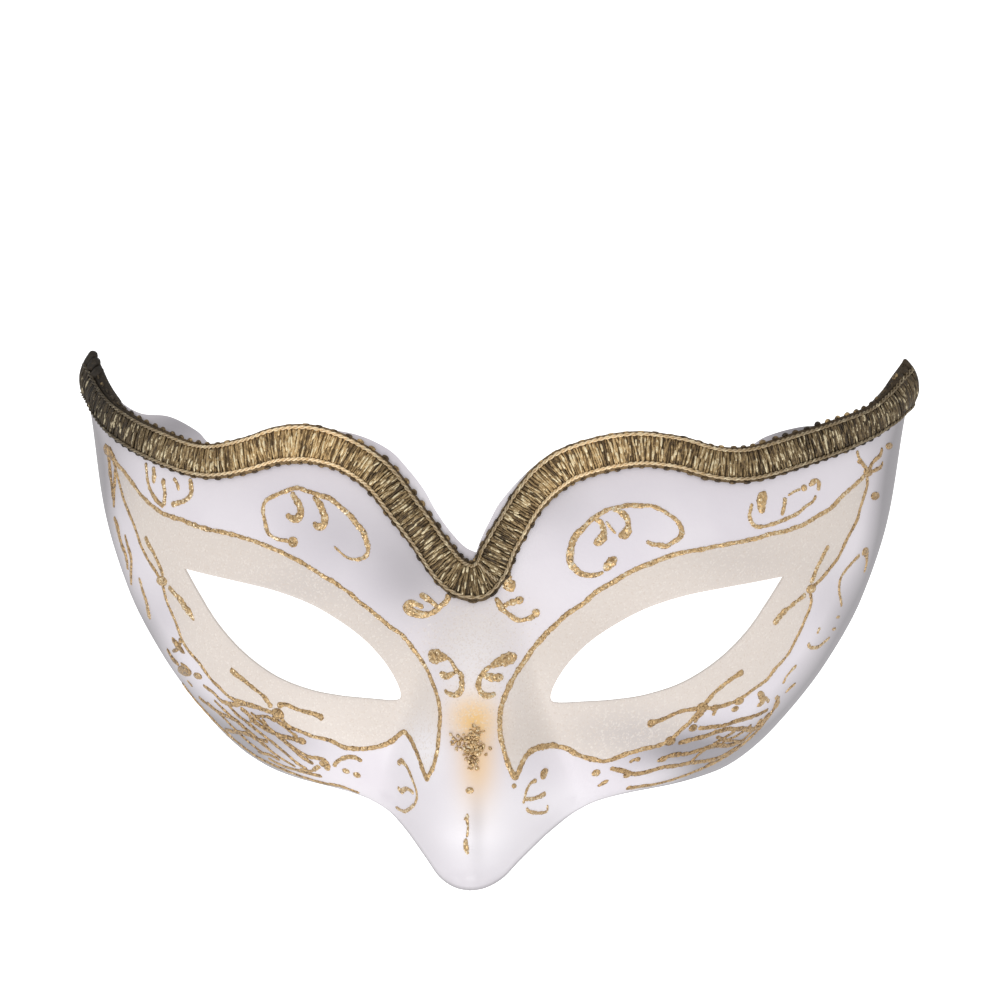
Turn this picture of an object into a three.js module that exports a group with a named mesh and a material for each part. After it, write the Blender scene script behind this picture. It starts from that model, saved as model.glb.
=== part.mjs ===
// A half mask for a masked ball: a thin moulded shell that wraps round the face from temple to
// temple, with a V between the brows, upswept wing tips, almond eye openings and a beaked nose,
// and a gold braid glued along its top edge.
//
// It lies face up, as such a mask does when it is put down: +Z points out of the face, +Y up the
// forehead and +X to the right as seen from the front. The temple walls stand on Z = 0.
//
// The shell is drawn in "face coordinates": u, the way round the head in millimetres of a
// cylinder of radius WRAP_RADIUS, and v, the height above the line through the eyes.
import * as THREE from "three";
import { mergeVertices } from "three/addons/utils/BufferGeometryUtils.js";

// Driving dimensions, in millimetres.
const SHELL_THICKNESS = 1.2;
const WRAP_RADIUS = 69;
const WALL_U = (WRAP_RADIUS * Math.PI) / 2; // where the face has turned square to the front
const BRAID_WIDTH = 7.4;
const BRAID_THICKNESS = 1.4;
// The two edge cords of the braid: how far they stand above it, and the shares of its width
// at which they are highest and end.
const BRAID_CORD = { height: 0.5, at: 0.13, end: 0.27 };
const BRAID_EDGE_HEIGHT = 0.55; // share of the thickness that is left at the braid's edges
const BRAID_GAP = 0.45; // glue line between the braid and the shell
const BRAID_END_MARGIN = 2.5; // how far the braid stays from the back of the temple wall
const BRAID_START = 0.003; // share of the braid's line left free at each wing tip
// The braid widens by a share of its width over the last part of its line, where it wraps the
// wing tips, and close to the middle, where it is folded at the bottom of the V.
const BRAID_FLARE = { over: 0.12, by: 0.5 };
const BRAID_SPREAD = { within: 6, by: 0.22 };
const NOSE_TIP_V = -50.3;

// The middle of the mask's height lies over the origin.
const MIDDLE_V = 3.35;

// Half the width of the mask at the temple walls, by height: [v, half width].
const HALF_WIDTH = [
  [-62, 25], [-46, 29.5], [-38.5, 32], [-35.5, 37], [-32, 47.6], [-27, 55.4],
  [-20, 62.4], [-8, 71.5], [6, 79], [24, 84.6], [42, 87.3], [62, 90.5],
];
// How far the middle of the face stands above the rest plane, without the nose: [v, depth].
const FACE_DEPTH = [[-62, 21], [-50, 30], [-36, 42], [-20, 49.5], [0, 52.5], [20, 52], [36, 49], [62, 40]];
// The nose is a ridge added to the face: [v, extra depth] and [v, half width at its foot].
const NOSE_RISE = [[-62, 35], [-50, 32], [-40, 23], [-25, 12.5], [-8, 5.5], [8, 1], [18, 0]];
const NOSE_HALF_WIDTH = [[-62, 17], [-46, 21], [-30, 20], [-10, 13], [10, 10], [18, 10]];
const NOSE_FLATNESS = 2.4;
// The face section is a superellipse: 1 - (x / half width) ^ FACE_SQUARENESS, to FACE_FULLNESS.
const FACE_SQUARENESS = 2.4;
const FACE_FULLNESS = 0.6;
// The hollow around each eye; it fades out over this share of the half width at the wall.
const EYE_CENTRE = [38, 0];
const SOCKET = { depth: 2, across: 20, up: 11, fade: 0.25 };
// Beyond the braid the shell turns back at this slope, and its lower edge rolls back a little;
// neither takes more than a share of the height above the rest plane.
const TURN_BACK = 1.1;
const LOWER_ROLL = { width: 3, depth: 0.9 };
const MOST_TURNED = 1 / 3;

// The shell's edges as seen from the front, from the middle outwards: [x, v].
const NOTCH = [0, 17.1];
const TOP_EDGE_RIGHT = [
  [1, 20], [2.7, 23.6], [4.7, 27.3], [9.4, 32.8], [14.4, 36.8], [20, 39.2], [27, 40.8], [34, 41.2],
  [42, 39.4], [48.5, 38], [53.5, 38], [58, 40.8], [65, 43.6], [73, 45.2], [79, 47.2], [82.6, 50.6], [85, 53.9],
];
const TOP_EDGE_LEFT = [
  [2.4, 18.2], [5.6, 21.6], [8.5, 25.6], [10.9, 29.6], [14.2, 33.6], [18.4, 37.6], [25.4, 40.6], [34, 41.6],
  [42, 41], [48.5, 38.8], [55.5, 37.8], [60, 40.8], [66.5, 43.8], [73, 45], [78.2, 47.6], [81.4, 51], [83.6, 54.4],
];
const LOWER_EDGE = [
  [47.5, -30.9], [40, -32.2], [31, -33.3], [24, -35], [18.6, -37.9], [14, -41.2], [9.6, -45],
  [6.4, -48.1], [3, -49.8],
];
const EYE_OUTLINE = [
  [62.2, 12.1], [56, 11], [49.6, 9.9], [42, 8.4], [34.6, 6], [28.4, 2.8], [23, -0.9], [18.6, -5.4],
  [15.9, -9.8], [15.3, -12.6], [17, -13.3], [22, -13.1], [28.5, -12.7], [35, -11.7], [42.2, -9.3],
  [49, -5], [54.5, 0.4], [58.8, 6.6],
];
// The upper side of the braid, from the fold at the bottom of the V outwards: [x, v].
const BRAID_FOLD = [-0.5, 15.6];
const BRAID_EDGE_RIGHT = [
  [0.9, 18], [2.5, 21.2], [4.3, 24.4], [7.2, 29.6], [11.2, 34.6], [16.5, 38.4], [25, 41.1], [33, 42],
  [41, 40.9], [48, 38.6], [54, 38.2], [60, 39.7], [66, 41.7], [73, 44.2], [79, 46.8], [82.6, 50.1], [85, 53.4],
];
const BRAID_EDGE_LEFT = [
  [2.8, 16.5], [5.6, 19.6], [8.8, 23.8], [12.4, 28.4], [16.4, 33.4], [21.2, 37.2], [28, 40.5], [35, 42.1],
  [42, 41.5], [48.5, 39.3], [55, 37.8], [60, 38.1], [66.3, 40.2], [73, 43.2], [78.2, 46.6], [81.4, 50.2], [83.6, 53.8],
];
// The wing tips: degrees round the face from its middle, and height.
const TIP_RIGHT = [77.5, 56.8];
const TIP_LEFT = [73, 57];
// The heights between which the temple wall stands on the rest plane, and how far the edge
// from its top to the wing tip bulges.
const WALL_TOP_V = 47;
const WALL_FOOT_V = -29.6;
const BACK_BULGE = 1;

// How finely the solids are cut.
const EDGE_STEPS = 84;
const MIDDLE_STEPS = 15;
const RINGS = 8;
const BRAID_STEPS = 126;
// How finely the curves are followed, the step that slopes are taken over, and the lengths
// that count as nothing.
const SAMPLES = { braidLine: 600, lowerEdge: 90, eye: 360, stations: 2400 };
const SLOPE_STEP = 0.2;
const NO_LENGTH = 1e-6;
const MERGED = 1e-3;

// A smooth curve through [at, value] pairs that never overshoots them.
function curveThrough(pairs) {
  const at = pairs.map((pair) => pair[0]);
  const value = pairs.map((pair) => pair[1]);
  const slope = at.slice(1).map((a, i) => (value[i + 1] - value[i]) / (a - at[i]));
  const tangent = value.map((_, i) => {
    if (i === 0) return slope[0];
    if (i === slope.length) return slope[i - 1];
    const both = slope[i - 1] * slope[i];
    return both > 0 ? (2 * both) / (slope[i - 1] + slope[i]) : 0;
  });
  return (x) => {
    let i = 0;
    while (i < at.length - 2 && x > at[i + 1]) i += 1;
    const span = at[i + 1] - at[i];
    const t = THREE.MathUtils.clamp((x - at[i]) / span, 0, 1);
    return (
      (1 + 2 * t) * (1 - t) ** 2 * value[i] +
      t * (1 - t) ** 2 * span * tangent[i] +
      t * t * (3 - 2 * t) * value[i + 1] +
      t * t * (t - 1) * span * tangent[i + 1]
    );
  };
}

const halfWidthAt = curveThrough(HALF_WIDTH);
const faceDepthAt = curveThrough(FACE_DEPTH);
const noseRiseAt = curveThrough(NOSE_RISE);
const noseHalfWidthAt = curveThrough(NOSE_HALF_WIDTH);

// Face coordinates of a point given as it is seen from the front.
function faceFromFront([x, v]) {
  const share = THREE.MathUtils.clamp(x / halfWidthAt(v), -1, 1);
  return new THREE.Vector2(WRAP_RADIUS * Math.asin(share), v);
}

// The moulded face without its rolled edges.
function plainFace(u, v) {
  const share = Math.sin(THREE.MathUtils.clamp(u / WRAP_RADIUS, -Math.PI / 2, Math.PI / 2));
  const x = halfWidthAt(v) * share;
  const fall = Math.max(0, 1 - Math.abs(share) ** FACE_SQUARENESS) ** FACE_FULLNESS;
  const noseShare = Math.min(1, Math.abs(x) / noseHalfWidthAt(v));
  const nose = noseRiseAt(v) * (1 - noseShare ** NOSE_FLATNESS) ** 2;
  const across = (Math.abs(x) - EYE_CENTRE[0]) / SOCKET.across;
  const up = (v - EYE_CENTRE[1]) / SOCKET.up;
  const fade = Math.min(1, (1 - Math.abs(share)) / SOCKET.fade);
  const socket = SOCKET.depth * fade * Math.exp(-across * across - up * up);
  return new THREE.Vector3(x, v, Math.max(0, faceDepthAt(v) * fall + nose - socket));
}

// The free edges in face coordinates, for one side: 1 is right and -1 is left.
function edgesOf(side) {
  const onSide = ([x, v]) => faceFromFront([side * x, v]);
  const onWall = (v) => new THREE.Vector2(side * WALL_U, v);
  const [tipAngle, tipV] = side > 0 ? TIP_RIGHT : TIP_LEFT;
  const tip = new THREE.Vector2(side * WRAP_RADIUS * THREE.MathUtils.degToRad(tipAngle), tipV);
  const [wallTop, wallFoot] = [onWall(WALL_TOP_V), onWall(WALL_FOOT_V)];
  const back = tip.clone().lerp(wallTop, 0.5).add(new THREE.Vector2(side * BACK_BULGE, BACK_BULGE));
  const top = (side > 0 ? TOP_EDGE_RIGHT : TOP_EDGE_LEFT).map(onSide);
  const braid = (side > 0 ? BRAID_EDGE_RIGHT : BRAID_EDGE_LEFT).map(onSide);
  return {
    tip,
    braid,
    top: new THREE.SplineCurve([faceFromFront(NOTCH), ...top, tip]),
    back: new THREE.SplineCurve([tip, back, wallTop]),
    wall: new THREE.LineCurve(wallTop, wallFoot),
    lower: new THREE.SplineCurve([wallFoot, ...LOWER_EDGE.map(onSide), faceFromFront([0, NOSE_TIP_V])]),
  };
}

const LEFT = edgesOf(-1);
const RIGHT = edgesOf(1);

// The upper side of the braid from the left wing tip to the right one.
const braidLine = new THREE.SplineCurve([
  LEFT.tip, ...LEFT.braid.toReversed(), faceFromFront(BRAID_FOLD), ...RIGHT.braid, RIGHT.tip,
]);
const braidPoints = braidLine.getSpacedPoints(SAMPLES.braidLine);
const lowerPoints = [LEFT, RIGHT].flatMap((edges) => edges.lower.getSpacedPoints(SAMPLES.lowerEdge));

// How far a place lies above the upper side of the braid; negative below it.
function beyondBraid(place) {
  const gaps = braidPoints.map((point) => point.distanceTo(place));
  const near = gaps.indexOf(Math.min(...gaps));
  const from = braidPoints[Math.max(0, near - 1)];
  const to = braidPoints[Math.min(braidPoints.length - 1, near + 1)];
  const line = to.clone().sub(from).normalize();
  return line.cross(place.clone().sub(from));
}

// The outer surface of the shell, with its edges turned back.
function faceAt(u, v) {
  const point = plainFace(u, v);
  const place = new THREE.Vector2(u, v);
  const turned = TURN_BACK * Math.max(0, beyondBraid(place));
  const gap = Math.min(...lowerPoints.map((lower) => lower.distanceTo(place)));
  const rolled = LOWER_ROLL.depth * Math.max(0, 1 - gap / LOWER_ROLL.width) ** 2;
  point.z -= Math.min(turned + rolled, point.z * MOST_TURNED);
  return point;
}

// The two directions along a surface, per millimetre of u and of v.
function slopesOf(surface, u, v) {
  const d = SLOPE_STEP;
  return {
    along: surface(u + d, v).sub(surface(u - d, v)).divideScalar(2 * d),
    up: surface(u, v + d).sub(surface(u, v - d)).divideScalar(2 * d),
  };
}

// The outward normal of a surface; on the middle line it has no sideways part.
function normalOf(surface, u, v) {
  const { along, up } = slopesOf(surface, u, v);
  const normal = along.cross(up);
  if (Math.abs(u) < NO_LENGTH) normal.setX(0);
  return normal.normalize();
}

// Where the ray from the eye's centre to a point crosses the eye opening.
function onEye(eyePoints, centre, point) {
  const ray = point.clone().sub(centre);
  const offRay = (place) => place.clone().sub(centre).cross(ray);
  for (let i = 1; i < eyePoints.length; i += 1) {
    const [a, b] = [eyePoints[i - 1], eyePoints[i]];
    const ahead = a.clone().sub(centre).dot(ray) > 0;
    if (ahead && offRay(a) * offRay(b) <= 0) return a.clone().lerp(b, offRay(a) / (offRay(a) - offRay(b)));
  }
  throw new Error("a ray misses the eye opening");
}

// The two ends of each ray of one side's grid: on the eye opening and on the outline.
function gridOf(side, edges) {
  const curves = [edges.top, edges.back, edges.wall, edges.lower];
  const whole = curves.reduce((sum, curve) => sum + curve.getLength(), 0);
  const rim = curves.flatMap((curve) => {
    const steps = Math.max(2, Math.round((EDGE_STEPS * curve.getLength()) / whole));
    return curve.getSpacedPoints(steps).slice(0, -1);
  });
  const lowest = faceFromFront([0, NOSE_TIP_V]);
  const notch = faceFromFront(NOTCH);
  const middle = Array.from({ length: MIDDLE_STEPS }, (_, i) => lowest.clone().lerp(notch, i / MIDDLE_STEPS));
  const outer = [...rim, ...middle];

  const centre = faceFromFront([side * EYE_CENTRE[0], EYE_CENTRE[1]]);
  const eyePlaces = EYE_OUTLINE.map(([x, v]) => faceFromFront([side * x, v]));
  const eyePoints = new THREE.SplineCurve([...eyePlaces, eyePlaces[0]]).getPoints(SAMPLES.eye);
  return { side, outer, inner: outer.map((point) => onEye(eyePoints, centre, point)), rimCount: rim.length };
}

// A closed mesh from corner points and faces, each cut into triangles from its first corner.
function closedGeometry(corners, faces) {
  const triangles = faces.flatMap(([first, ...rest]) => rest.slice(1).flatMap((last, i) => [first, rest[i], last]));
  const geometry = new THREE.BufferGeometry();
  const coordinates = corners.flatMap((point) => point.toArray());
  geometry.setAttribute("position", new THREE.Float32BufferAttribute(coordinates, 3));
  geometry.setIndex(triangles);
  const merged = mergeVertices(geometry, MERGED);
  merged.translate(0, -MIDDLE_V, 0);
  merged.computeVertexNormals();
  return merged;
}

// The shell: the face, the same face moved in by the wall's thickness, and the cut edges.
function shellGeometry() {
  const corners = [];
  const faces = [];
  for (const { side, outer, inner, rimCount } of [gridOf(-1, LEFT), gridOf(1, RIGHT)]) {
    const first = corners.length;
    const columns = outer.length;
    const placeAt = (ring, column) => inner[column % columns].clone().lerp(outer[column % columns], ring / RINGS);
    for (let ring = 0; ring <= RINGS; ring += 1) {
      for (let column = 0; column < columns; column += 1) {
        const place = placeAt(ring, column);
        const point = faceAt(place.x, place.y);
        const behind = point.clone().addScaledVector(normalOf(faceAt, place.x, place.y), -SHELL_THICKNESS);
        behind.z = Math.max(0, behind.z);
        corners.push(point, behind);
      }
    }
    const front = (ring, column) => first + 2 * (ring * columns + (column % columns));
    const behind = (ring, column) => front(ring, column) + 1;
    const add = (...face) => faces.push(side > 0 ? face : face.toReversed());
    // A cell is cut along the diagonal that keeps closer to the face.
    const addCell = (ring, column) => {
      const cell = [[ring, column], [ring, column + 1], [ring + 1, column + 1], [ring + 1, column]];
      const middle = cell.reduce((sum, corner) => sum.add(placeAt(...corner)), new THREE.Vector2()).divideScalar(4);
      const onFace = faceAt(middle.x, middle.y);
      const [a, b, c, d] = cell.map((corner) => corners[front(...corner)]);
      const off = (from, to) => from.clone().lerp(to, 0.5).distanceTo(onFace);
      if (off(b, d) < off(a, c)) cell.push(cell.shift());
      add(...cell.map((corner) => front(...corner)));
      add(...[cell[0], cell[3], cell[2], cell[1]].map((corner) => behind(...corner)));
    };
    for (let column = 0; column < columns; column += 1) {
      const next = column + 1;
      for (let ring = 0; ring < RINGS; ring += 1) addCell(ring, column);
      add(front(0, column), behind(0, column), behind(0, next), front(0, next));
      if (column < rimCount) {
        add(front(RINGS, column), front(RINGS, next), behind(RINGS, next), behind(RINGS, column));
      }
    }
  }
  return closedGeometry(corners, faces);
}

// The section of the braid: [share of the width, height above its back], up one edge, over the
// two cords, down the other edge and along the back.
const BRAID_SECTION = [
  [0, 0],
  [0, BRAID_EDGE_HEIGHT * BRAID_THICKNESS],
  [BRAID_CORD.at, BRAID_THICKNESS + BRAID_CORD.height],
  [BRAID_CORD.end, BRAID_THICKNESS],
  [1 - BRAID_CORD.end, BRAID_THICKNESS],
  [1 - BRAID_CORD.at, BRAID_THICKNESS + BRAID_CORD.height],
  [1, BRAID_EDGE_HEIGHT * BRAID_THICKNESS],
  [1, 0],
  [0.75, 0],
  [0.5, 0],
  [0.25, 0],
];

// Places along the braid's upper side with the step across it, spread evenly over its middle line.
function braidStations() {
  const fine = SAMPLES.stations;
  const raw = Array.from({ length: fine + 1 }, (_, i) => {
    const share = THREE.MathUtils.lerp(BRAID_START, 1 - BRAID_START, i / fine);
    const place = braidLine.getPointAt(share);
    const before = braidLine.getPointAt(share - BRAID_START);
    const after = braidLine.getPointAt(share + BRAID_START);
    const { along, up } = slopesOf(plainFace, place.x, place.y);
    const line = after.clone().sub(before);
    const across = along.clone().multiplyScalar(line.x).addScaledVector(up, line.y);
    const nearTip = Math.max(0, 1 - Math.min(share, 1 - share) / BRAID_FLARE.over);
    const nearFold = Math.max(0, 1 - Math.abs(place.x) / BRAID_SPREAD.within);
    const width = BRAID_WIDTH * (1 + BRAID_FLARE.by * nearTip ** 2 + BRAID_SPREAD.by * nearFold);
    across.cross(along.clone().cross(up)).normalize().multiplyScalar(width);
    const [a, b, c] = [along.dot(along), along.dot(up), up.dot(up)];
    const [p, q] = [across.dot(along), across.dot(up)];
    const step = new THREE.Vector2((p * c - q * b) / (a * c - b * b), (q * a - p * b) / (a * c - b * b));
    const room = WALL_U - BRAID_END_MARGIN - Math.abs(place.x);
    step.multiplyScalar(Math.min(1, room / Math.max(NO_LENGTH, step.x * Math.sign(place.x))));
    return { place, step, middle: place.clone().addScaledVector(step, 0.5) };
  });
  const run = [0];
  for (let i = 1; i <= fine; i += 1) run.push(run[i - 1] + raw[i].middle.distanceTo(raw[i - 1].middle));
  return Array.from({ length: BRAID_STEPS + 1 }, (_, k) => {
    const target = (run[fine] * k) / BRAID_STEPS;
    return raw[run.findIndex((length) => length >= target - NO_LENGTH)];
  });
}

// The braid: its section carried along the top edge, on the front of the shell.
function braidGeometry() {
  const corners = [];
  const faces = [];
  const sides = BRAID_SECTION.length;
  const stations = braidStations();
  for (const { place, step } of stations) {
    for (const [share, height] of BRAID_SECTION) {
      const spot = place.clone().addScaledVector(step, share);
      const out = normalOf(plainFace, spot.x, spot.y).multiplyScalar(BRAID_GAP + height);
      corners.push(plainFace(spot.x, spot.y).add(out));
    }
  }
  for (let k = 0; k < stations.length - 1; k += 1) {
    for (let i = 0; i < sides; i += 1) {
      const [here, next] = [k * sides + i, k * sides + ((i + 1) % sides)];
      faces.push([here, next, next + sides, here + sides]);
    }
  }
  // Each end is cut from the middle of the back, the section's last corner but one.
  const end = Array.from({ length: sides }, (_, i) => (i + sides - 2) % sides);
  faces.push(end.toReversed());
  faces.push(end.map((i) => i + (stations.length - 1) * sides));
  return closedGeometry(corners, faces);
}

// A named solid with its finish.
function piece(name, geometry, color, roughness, metalness) {
  const mesh = new THREE.Mesh(geometry, new THREE.MeshStandardMaterial({ color, roughness, metalness }));
  mesh.name = name;
  return mesh;
}

const mask = new THREE.Group();
mask.name = "half_mask";
mask.add(piece("mask_shell", shellGeometry(), 0xe9e4ea, 0.45, 0));
mask.add(piece("braid_trim", braidGeometry(), 0xa98c4f, 0.5, 0.4));
export default mask;
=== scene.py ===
"""A half mask for a masked ball: a moulded pearl white shell with almond eye openings, upswept
wing tips and a beaked nose, gold glitter scrolls drawn on it, and a gold gimp braid along its
top edge. It lies face up on the rims of its temple walls."""

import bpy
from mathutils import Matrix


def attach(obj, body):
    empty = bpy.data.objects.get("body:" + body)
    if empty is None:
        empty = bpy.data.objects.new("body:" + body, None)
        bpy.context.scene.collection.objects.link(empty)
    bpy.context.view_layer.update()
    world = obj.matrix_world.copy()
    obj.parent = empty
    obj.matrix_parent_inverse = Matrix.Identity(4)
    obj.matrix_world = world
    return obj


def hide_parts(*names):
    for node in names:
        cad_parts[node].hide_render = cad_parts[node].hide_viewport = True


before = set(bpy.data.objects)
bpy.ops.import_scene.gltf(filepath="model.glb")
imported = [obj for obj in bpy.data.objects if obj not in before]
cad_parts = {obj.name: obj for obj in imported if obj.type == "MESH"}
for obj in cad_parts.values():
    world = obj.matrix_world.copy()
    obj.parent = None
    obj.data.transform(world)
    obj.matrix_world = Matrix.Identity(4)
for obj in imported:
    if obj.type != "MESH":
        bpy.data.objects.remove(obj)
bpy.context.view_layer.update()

import math

import bmesh
import bpy
import numpy as np
from bpy.props import FloatProperty, FloatVectorProperty, IntProperty, PointerProperty
from mathutils import Matrix, Vector, noise
from mathutils.bvhtree import BVHTree

bl_info = {
    "name": "Half Mask",
    "version": (1, 0, 0),
    "blender": (4, 5, 0),
    "location": "3D View > Sidebar > Half Mask",
    "description": "Models a moulded half mask with a braided top edge and gold glitter scrolls",
    "category": "Add Mesh",
}

MM = 0.001
BODY = "root"
WHITE = (1, 1, 1, 1)

# The seeds of all that is random.
GRAIN_SEED = 3
HEAP_SEED = 7
STRAND_SEED = 11
PICOT_SEED = 5

# The shell's form, the same as in the solid model, in millimetres. Face coordinates are u, the way
# round the head on a cylinder of WRAP_RADIUS, and v, the height above the line through the eyes.
WRAP_RADIUS = 69
WALL_U = WRAP_RADIUS * math.pi / 2
MIDDLE_V = 3.35
HALF_WIDTH = [
    (-62, 25), (-46, 29.5), (-38.5, 32), (-35.5, 37), (-32, 47.6), (-27, 55.4),
    (-20, 62.4), (-8, 71.5), (6, 79), (24, 84.6), (42, 87.3), (62, 90.5),
]
FACE_DEPTH = [
    (-62, 21), (-50, 30), (-36, 42), (-20, 49.5), (0, 52.5), (20, 52), (36, 49), (62, 40),
]
NOSE_RISE = [(-62, 35), (-50, 32), (-40, 23), (-25, 12.5), (-8, 5.5), (8, 1), (18, 0)]
NOSE_HALF_WIDTH = [(-62, 17), (-46, 21), (-30, 20), (-10, 13), (10, 10), (18, 10)]
NOSE_FLATNESS = 2.4
FACE_SQUARENESS = 2.4
FACE_FULLNESS = 0.6
EYE_CENTRE = (38, 0)
SOCKET_DEPTH = 2
SOCKET_ACROSS = 20
SOCKET_UP = 11
SOCKET_FADE = 0.25
TURN_BACK = 1.1
NOTCH_TURN_BACK = 0.3
NOTCH_REACH = 36
NOTCH_FADE = 8
ROLL_WIDTH = 3
ROLL_DEPTH = 0.9
MOST_TURNED = 1 / 3
SLOPE_STEP = 0.2

# The shell's edges as seen from the front, from the middle outwards.
NOTCH = (0, 17.1)
NOSE_TIP = (0, -50.3)
TOP_EDGE_RIGHT = [
    (1, 20), (2.7, 23.6), (4.7, 27.3), (9.4, 32.8), (14.4, 36.8), (20, 39.2), (27, 40.8), (34, 41.2),
    (42, 39.4), (48.5, 38), (53.5, 38), (58, 40.8), (65, 42.8), (73, 43.6), (79.4, 46.1), (83, 49.6),
    (85.2, 53.3),
]
TOP_EDGE_LEFT = [
    (2.4, 18.2), (5.6, 21.6), (8.5, 25.6), (10.9, 29.6), (14.2, 33.6), (18.4, 37.6), (25.4, 40.6),
    (34, 41.6), (42, 41), (48.5, 38.8), (55.5, 37.8), (60, 40.8), (66.5, 43.6), (73, 44.2),
    (78.2, 46.8), (81.4, 50.2), (83.6, 53.8),
]
LOWER_EDGE = [
    (47.5, -30.9), (40, -32.2), (31, -33.3), (24, -35), (18.6, -37.9), (14, -41.2), (9.6, -45),
    (6.4, -48.1), (3, -49.8),
]
EYE_OUTLINE = [
    (62.2, 12.1), (56, 11), (49.6, 9.9), (42, 8.4), (34.6, 6), (28.4, 2.8), (23, -0.9),
    (18.6, -5.4), (15.9, -9.8), (15.3, -12.6), (17, -13.3), (22, -13.1), (28.5, -12.7),
    (35, -11.7), (42.2, -9.3), (49, -5), (54.5, 0.4), (58.8, 6.6),
]
BRAID_FOLD = (-0.5, 15.6)
BRAID_EDGE_RIGHT = [
    (0.9, 18), (2.5, 21.2), (4.3, 24.4), (7.2, 29.6), (11.2, 34.6), (16.5, 38.4), (25, 41.1),
    (33, 42), (41, 40.9), (48, 38.6), (54, 38.2), (60, 39.7), (66, 41.7), (73, 44.2), (79, 46.8),
    (82.6, 50.1), (85, 53.4),
]
BRAID_EDGE_LEFT = [
    (2.8, 16.5), (5.6, 19.6), (8.8, 23.8), (12.4, 28.4), (16.4, 33.4), (21.2, 37.2), (28, 40.5),
    (35, 42.1), (42, 41.5), (48.5, 39.3), (55, 37.8), (60, 38.1), (66.3, 40.2), (73, 43.2),
    (78.2, 46.6), (81.4, 50.2), (83.6, 53.8),
]
TIP_RIGHT = (77.5, 56.8)
TIP_LEFT = (73, 57)
WALL_TOP_V = 47
WALL_FOOT_V = -29.6
BACK_BULGE = 1
OUTLINE = ("top", "back", "wall", "lower")

# The shell's mesh. Its columns of faces run from the eye opening to the outline: by EYE_FACING they
# start where the opening faces the outline, and for the rest at even steps. The wall is thinned to
# THIN_RIM of its thickness at the eye openings and, beyond TIP_FROM round the head, at the wing tips;
# THIN_WITHIN further in it has its full thickness. Edges sharper than RIM_ANGLE are rounded.
EYE_FACING = 0.6
THIN_RIM = 0.4
THIN_WITHIN = 3.5
TIP_FROM = 68
RIM_ANGLE = 55
SEAM_GAP = 1e-6
SAME_SPOT = 1e-7

# Painted shade: grey is painted over EDGE_LINE along the lower edge, and at the temples, from
# TURNED_AT round the head on, where the front share of the face's normal is below TURNED_FROM,
# darker the further the face turns from the front.
EDGE_LINE = 0.9
TURNED_FROM = 0.5
TURNED_AT = 40
TURNED_LEFT = 1.6
TURNED_RIGHT = 2.0
# The zones of the paint: the cream, the sprayed gold, the glitter dust, painted shade, painted highlight
# and the lower edge's painted shade.
ZONES = ("cream", "glow", "dust", "shade", "sheen", "edge")

# The braid hangs down by its width from the line of its upper side, and flares at the wing tips and
# spreads at its fold. Its lower side stays BRAID_END_MARGIN short of the shell's back rim, and it
# stops short of the line's ends by the share BRAID_START.
BRAID_WIDTH = 7.4
BRAID_END_MARGIN = 2.5
BRAID_START = 0.003
BRAID_FLARE_OVER = 0.12
BRAID_FLARE_BY = 0.5
BRAID_SPREAD_WITHIN = 6
BRAID_SPREAD_BY = 0.22
# Within TIP_REACH of a wing tip the braid has fewer flecks and swells by TIP_SWELL, left and right.
TIP_REACH = 16
TIP_SWELL = (0.75, 1.35)
SWELL_ROUNDNESS = 0.7
# The course of the braid's two cords: the length along the braid and the share of its width. In an
# even band they would lie at UPPER_CORD_SHARE and LOWER_CORD_SHARE.
UPPER_CORD_SHARE = 0.13
LOWER_CORD_SHARE = 0.87
UPPER_CORD = (
    (0, 0.2), (10, 0.17), (20, 0.1), (35, 0.035), (50, 0.055), (60, 0.08), (90, 0.1), (110, 0.1),
    (118, 0.15), (125, 0.065), (140, 0.144), (150, 0.164), (170, 0.16), (180, 0.084), (190, 0.025),
    (200, 0.005), (215, 0.02), (228, 0.03), (241, 0.1),
)
LOWER_CORD = (
    (0, 0.96), (10, 0.916), (20, 0.876), (30, 0.836), (40, 0.797), (46, 0.81), (55, 0.888),
    (62, 0.945), (69, 0.983), (75, 0.935), (80, 0.88), (90, 0.896), (100, 0.856), (112, 0.82),
    (119, 0.88), (122, 0.76), (128, 0.74), (135, 0.817), (140, 0.916), (146, 0.983), (160, 0.985),
    (170, 0.943), (180, 0.856), (190, 0.809), (200, 0.797), (214, 0.8), (220, 0.765), (226, 0.755),
    (231, 0.836), (235, 0.916), (241, 0.99),
)
# The faces of the ground along and across. Then how high the braid's parts lie above the shell,
# and how much higher in the middle of its width.
GROUND_FACES = (560, 10)
GROUND_HEIGHT = 0.7
GROUND_CROWN = 0.3
WEFT_HEIGHT = 0.95
WEFT_CROWN = 0.25
FLECK_HEIGHT = 1.15
FLECK_CROWN = 0.2
CORD_HEIGHT = 1.35
FOLD_CORD_HEIGHT = 1.55
PICOT_HEIGHT = 0.6
HEM_HEIGHT = 0.3
# The shares of the braid's width between which its parts lie.
GROUND_SHARES = (0.03, 0.97)
WEFT_SHARES = (0.09, 0.91)
FLECK_SHARES = (0.12, 0.88)
FOLD_CORD_SHARES = (0.14, 0.84)
HEM_SHARES = (-0.1, 1)
# The part of the ground that turns over the shell's edge at a wing tip: its course round the edge
# as steps, shares of the width and heights. Over the last FOLD_EBB of its length it ebbs away.
FOLD_FACES = (70, 12)
FOLD_STEPS = (0, 0.35, 0.6, 0.8, 1)
FOLD_ACROSS = (0.18, 0.09, 0.01, -0.025, -0.02)
FOLD_HEIGHT = (0.6, 0.6, 0.45, 0.1, -0.5)
FOLD_EBB = 0.4
EBBED_ACROSS = 0.08
EBBED_HEIGHT = 0.6
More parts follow.
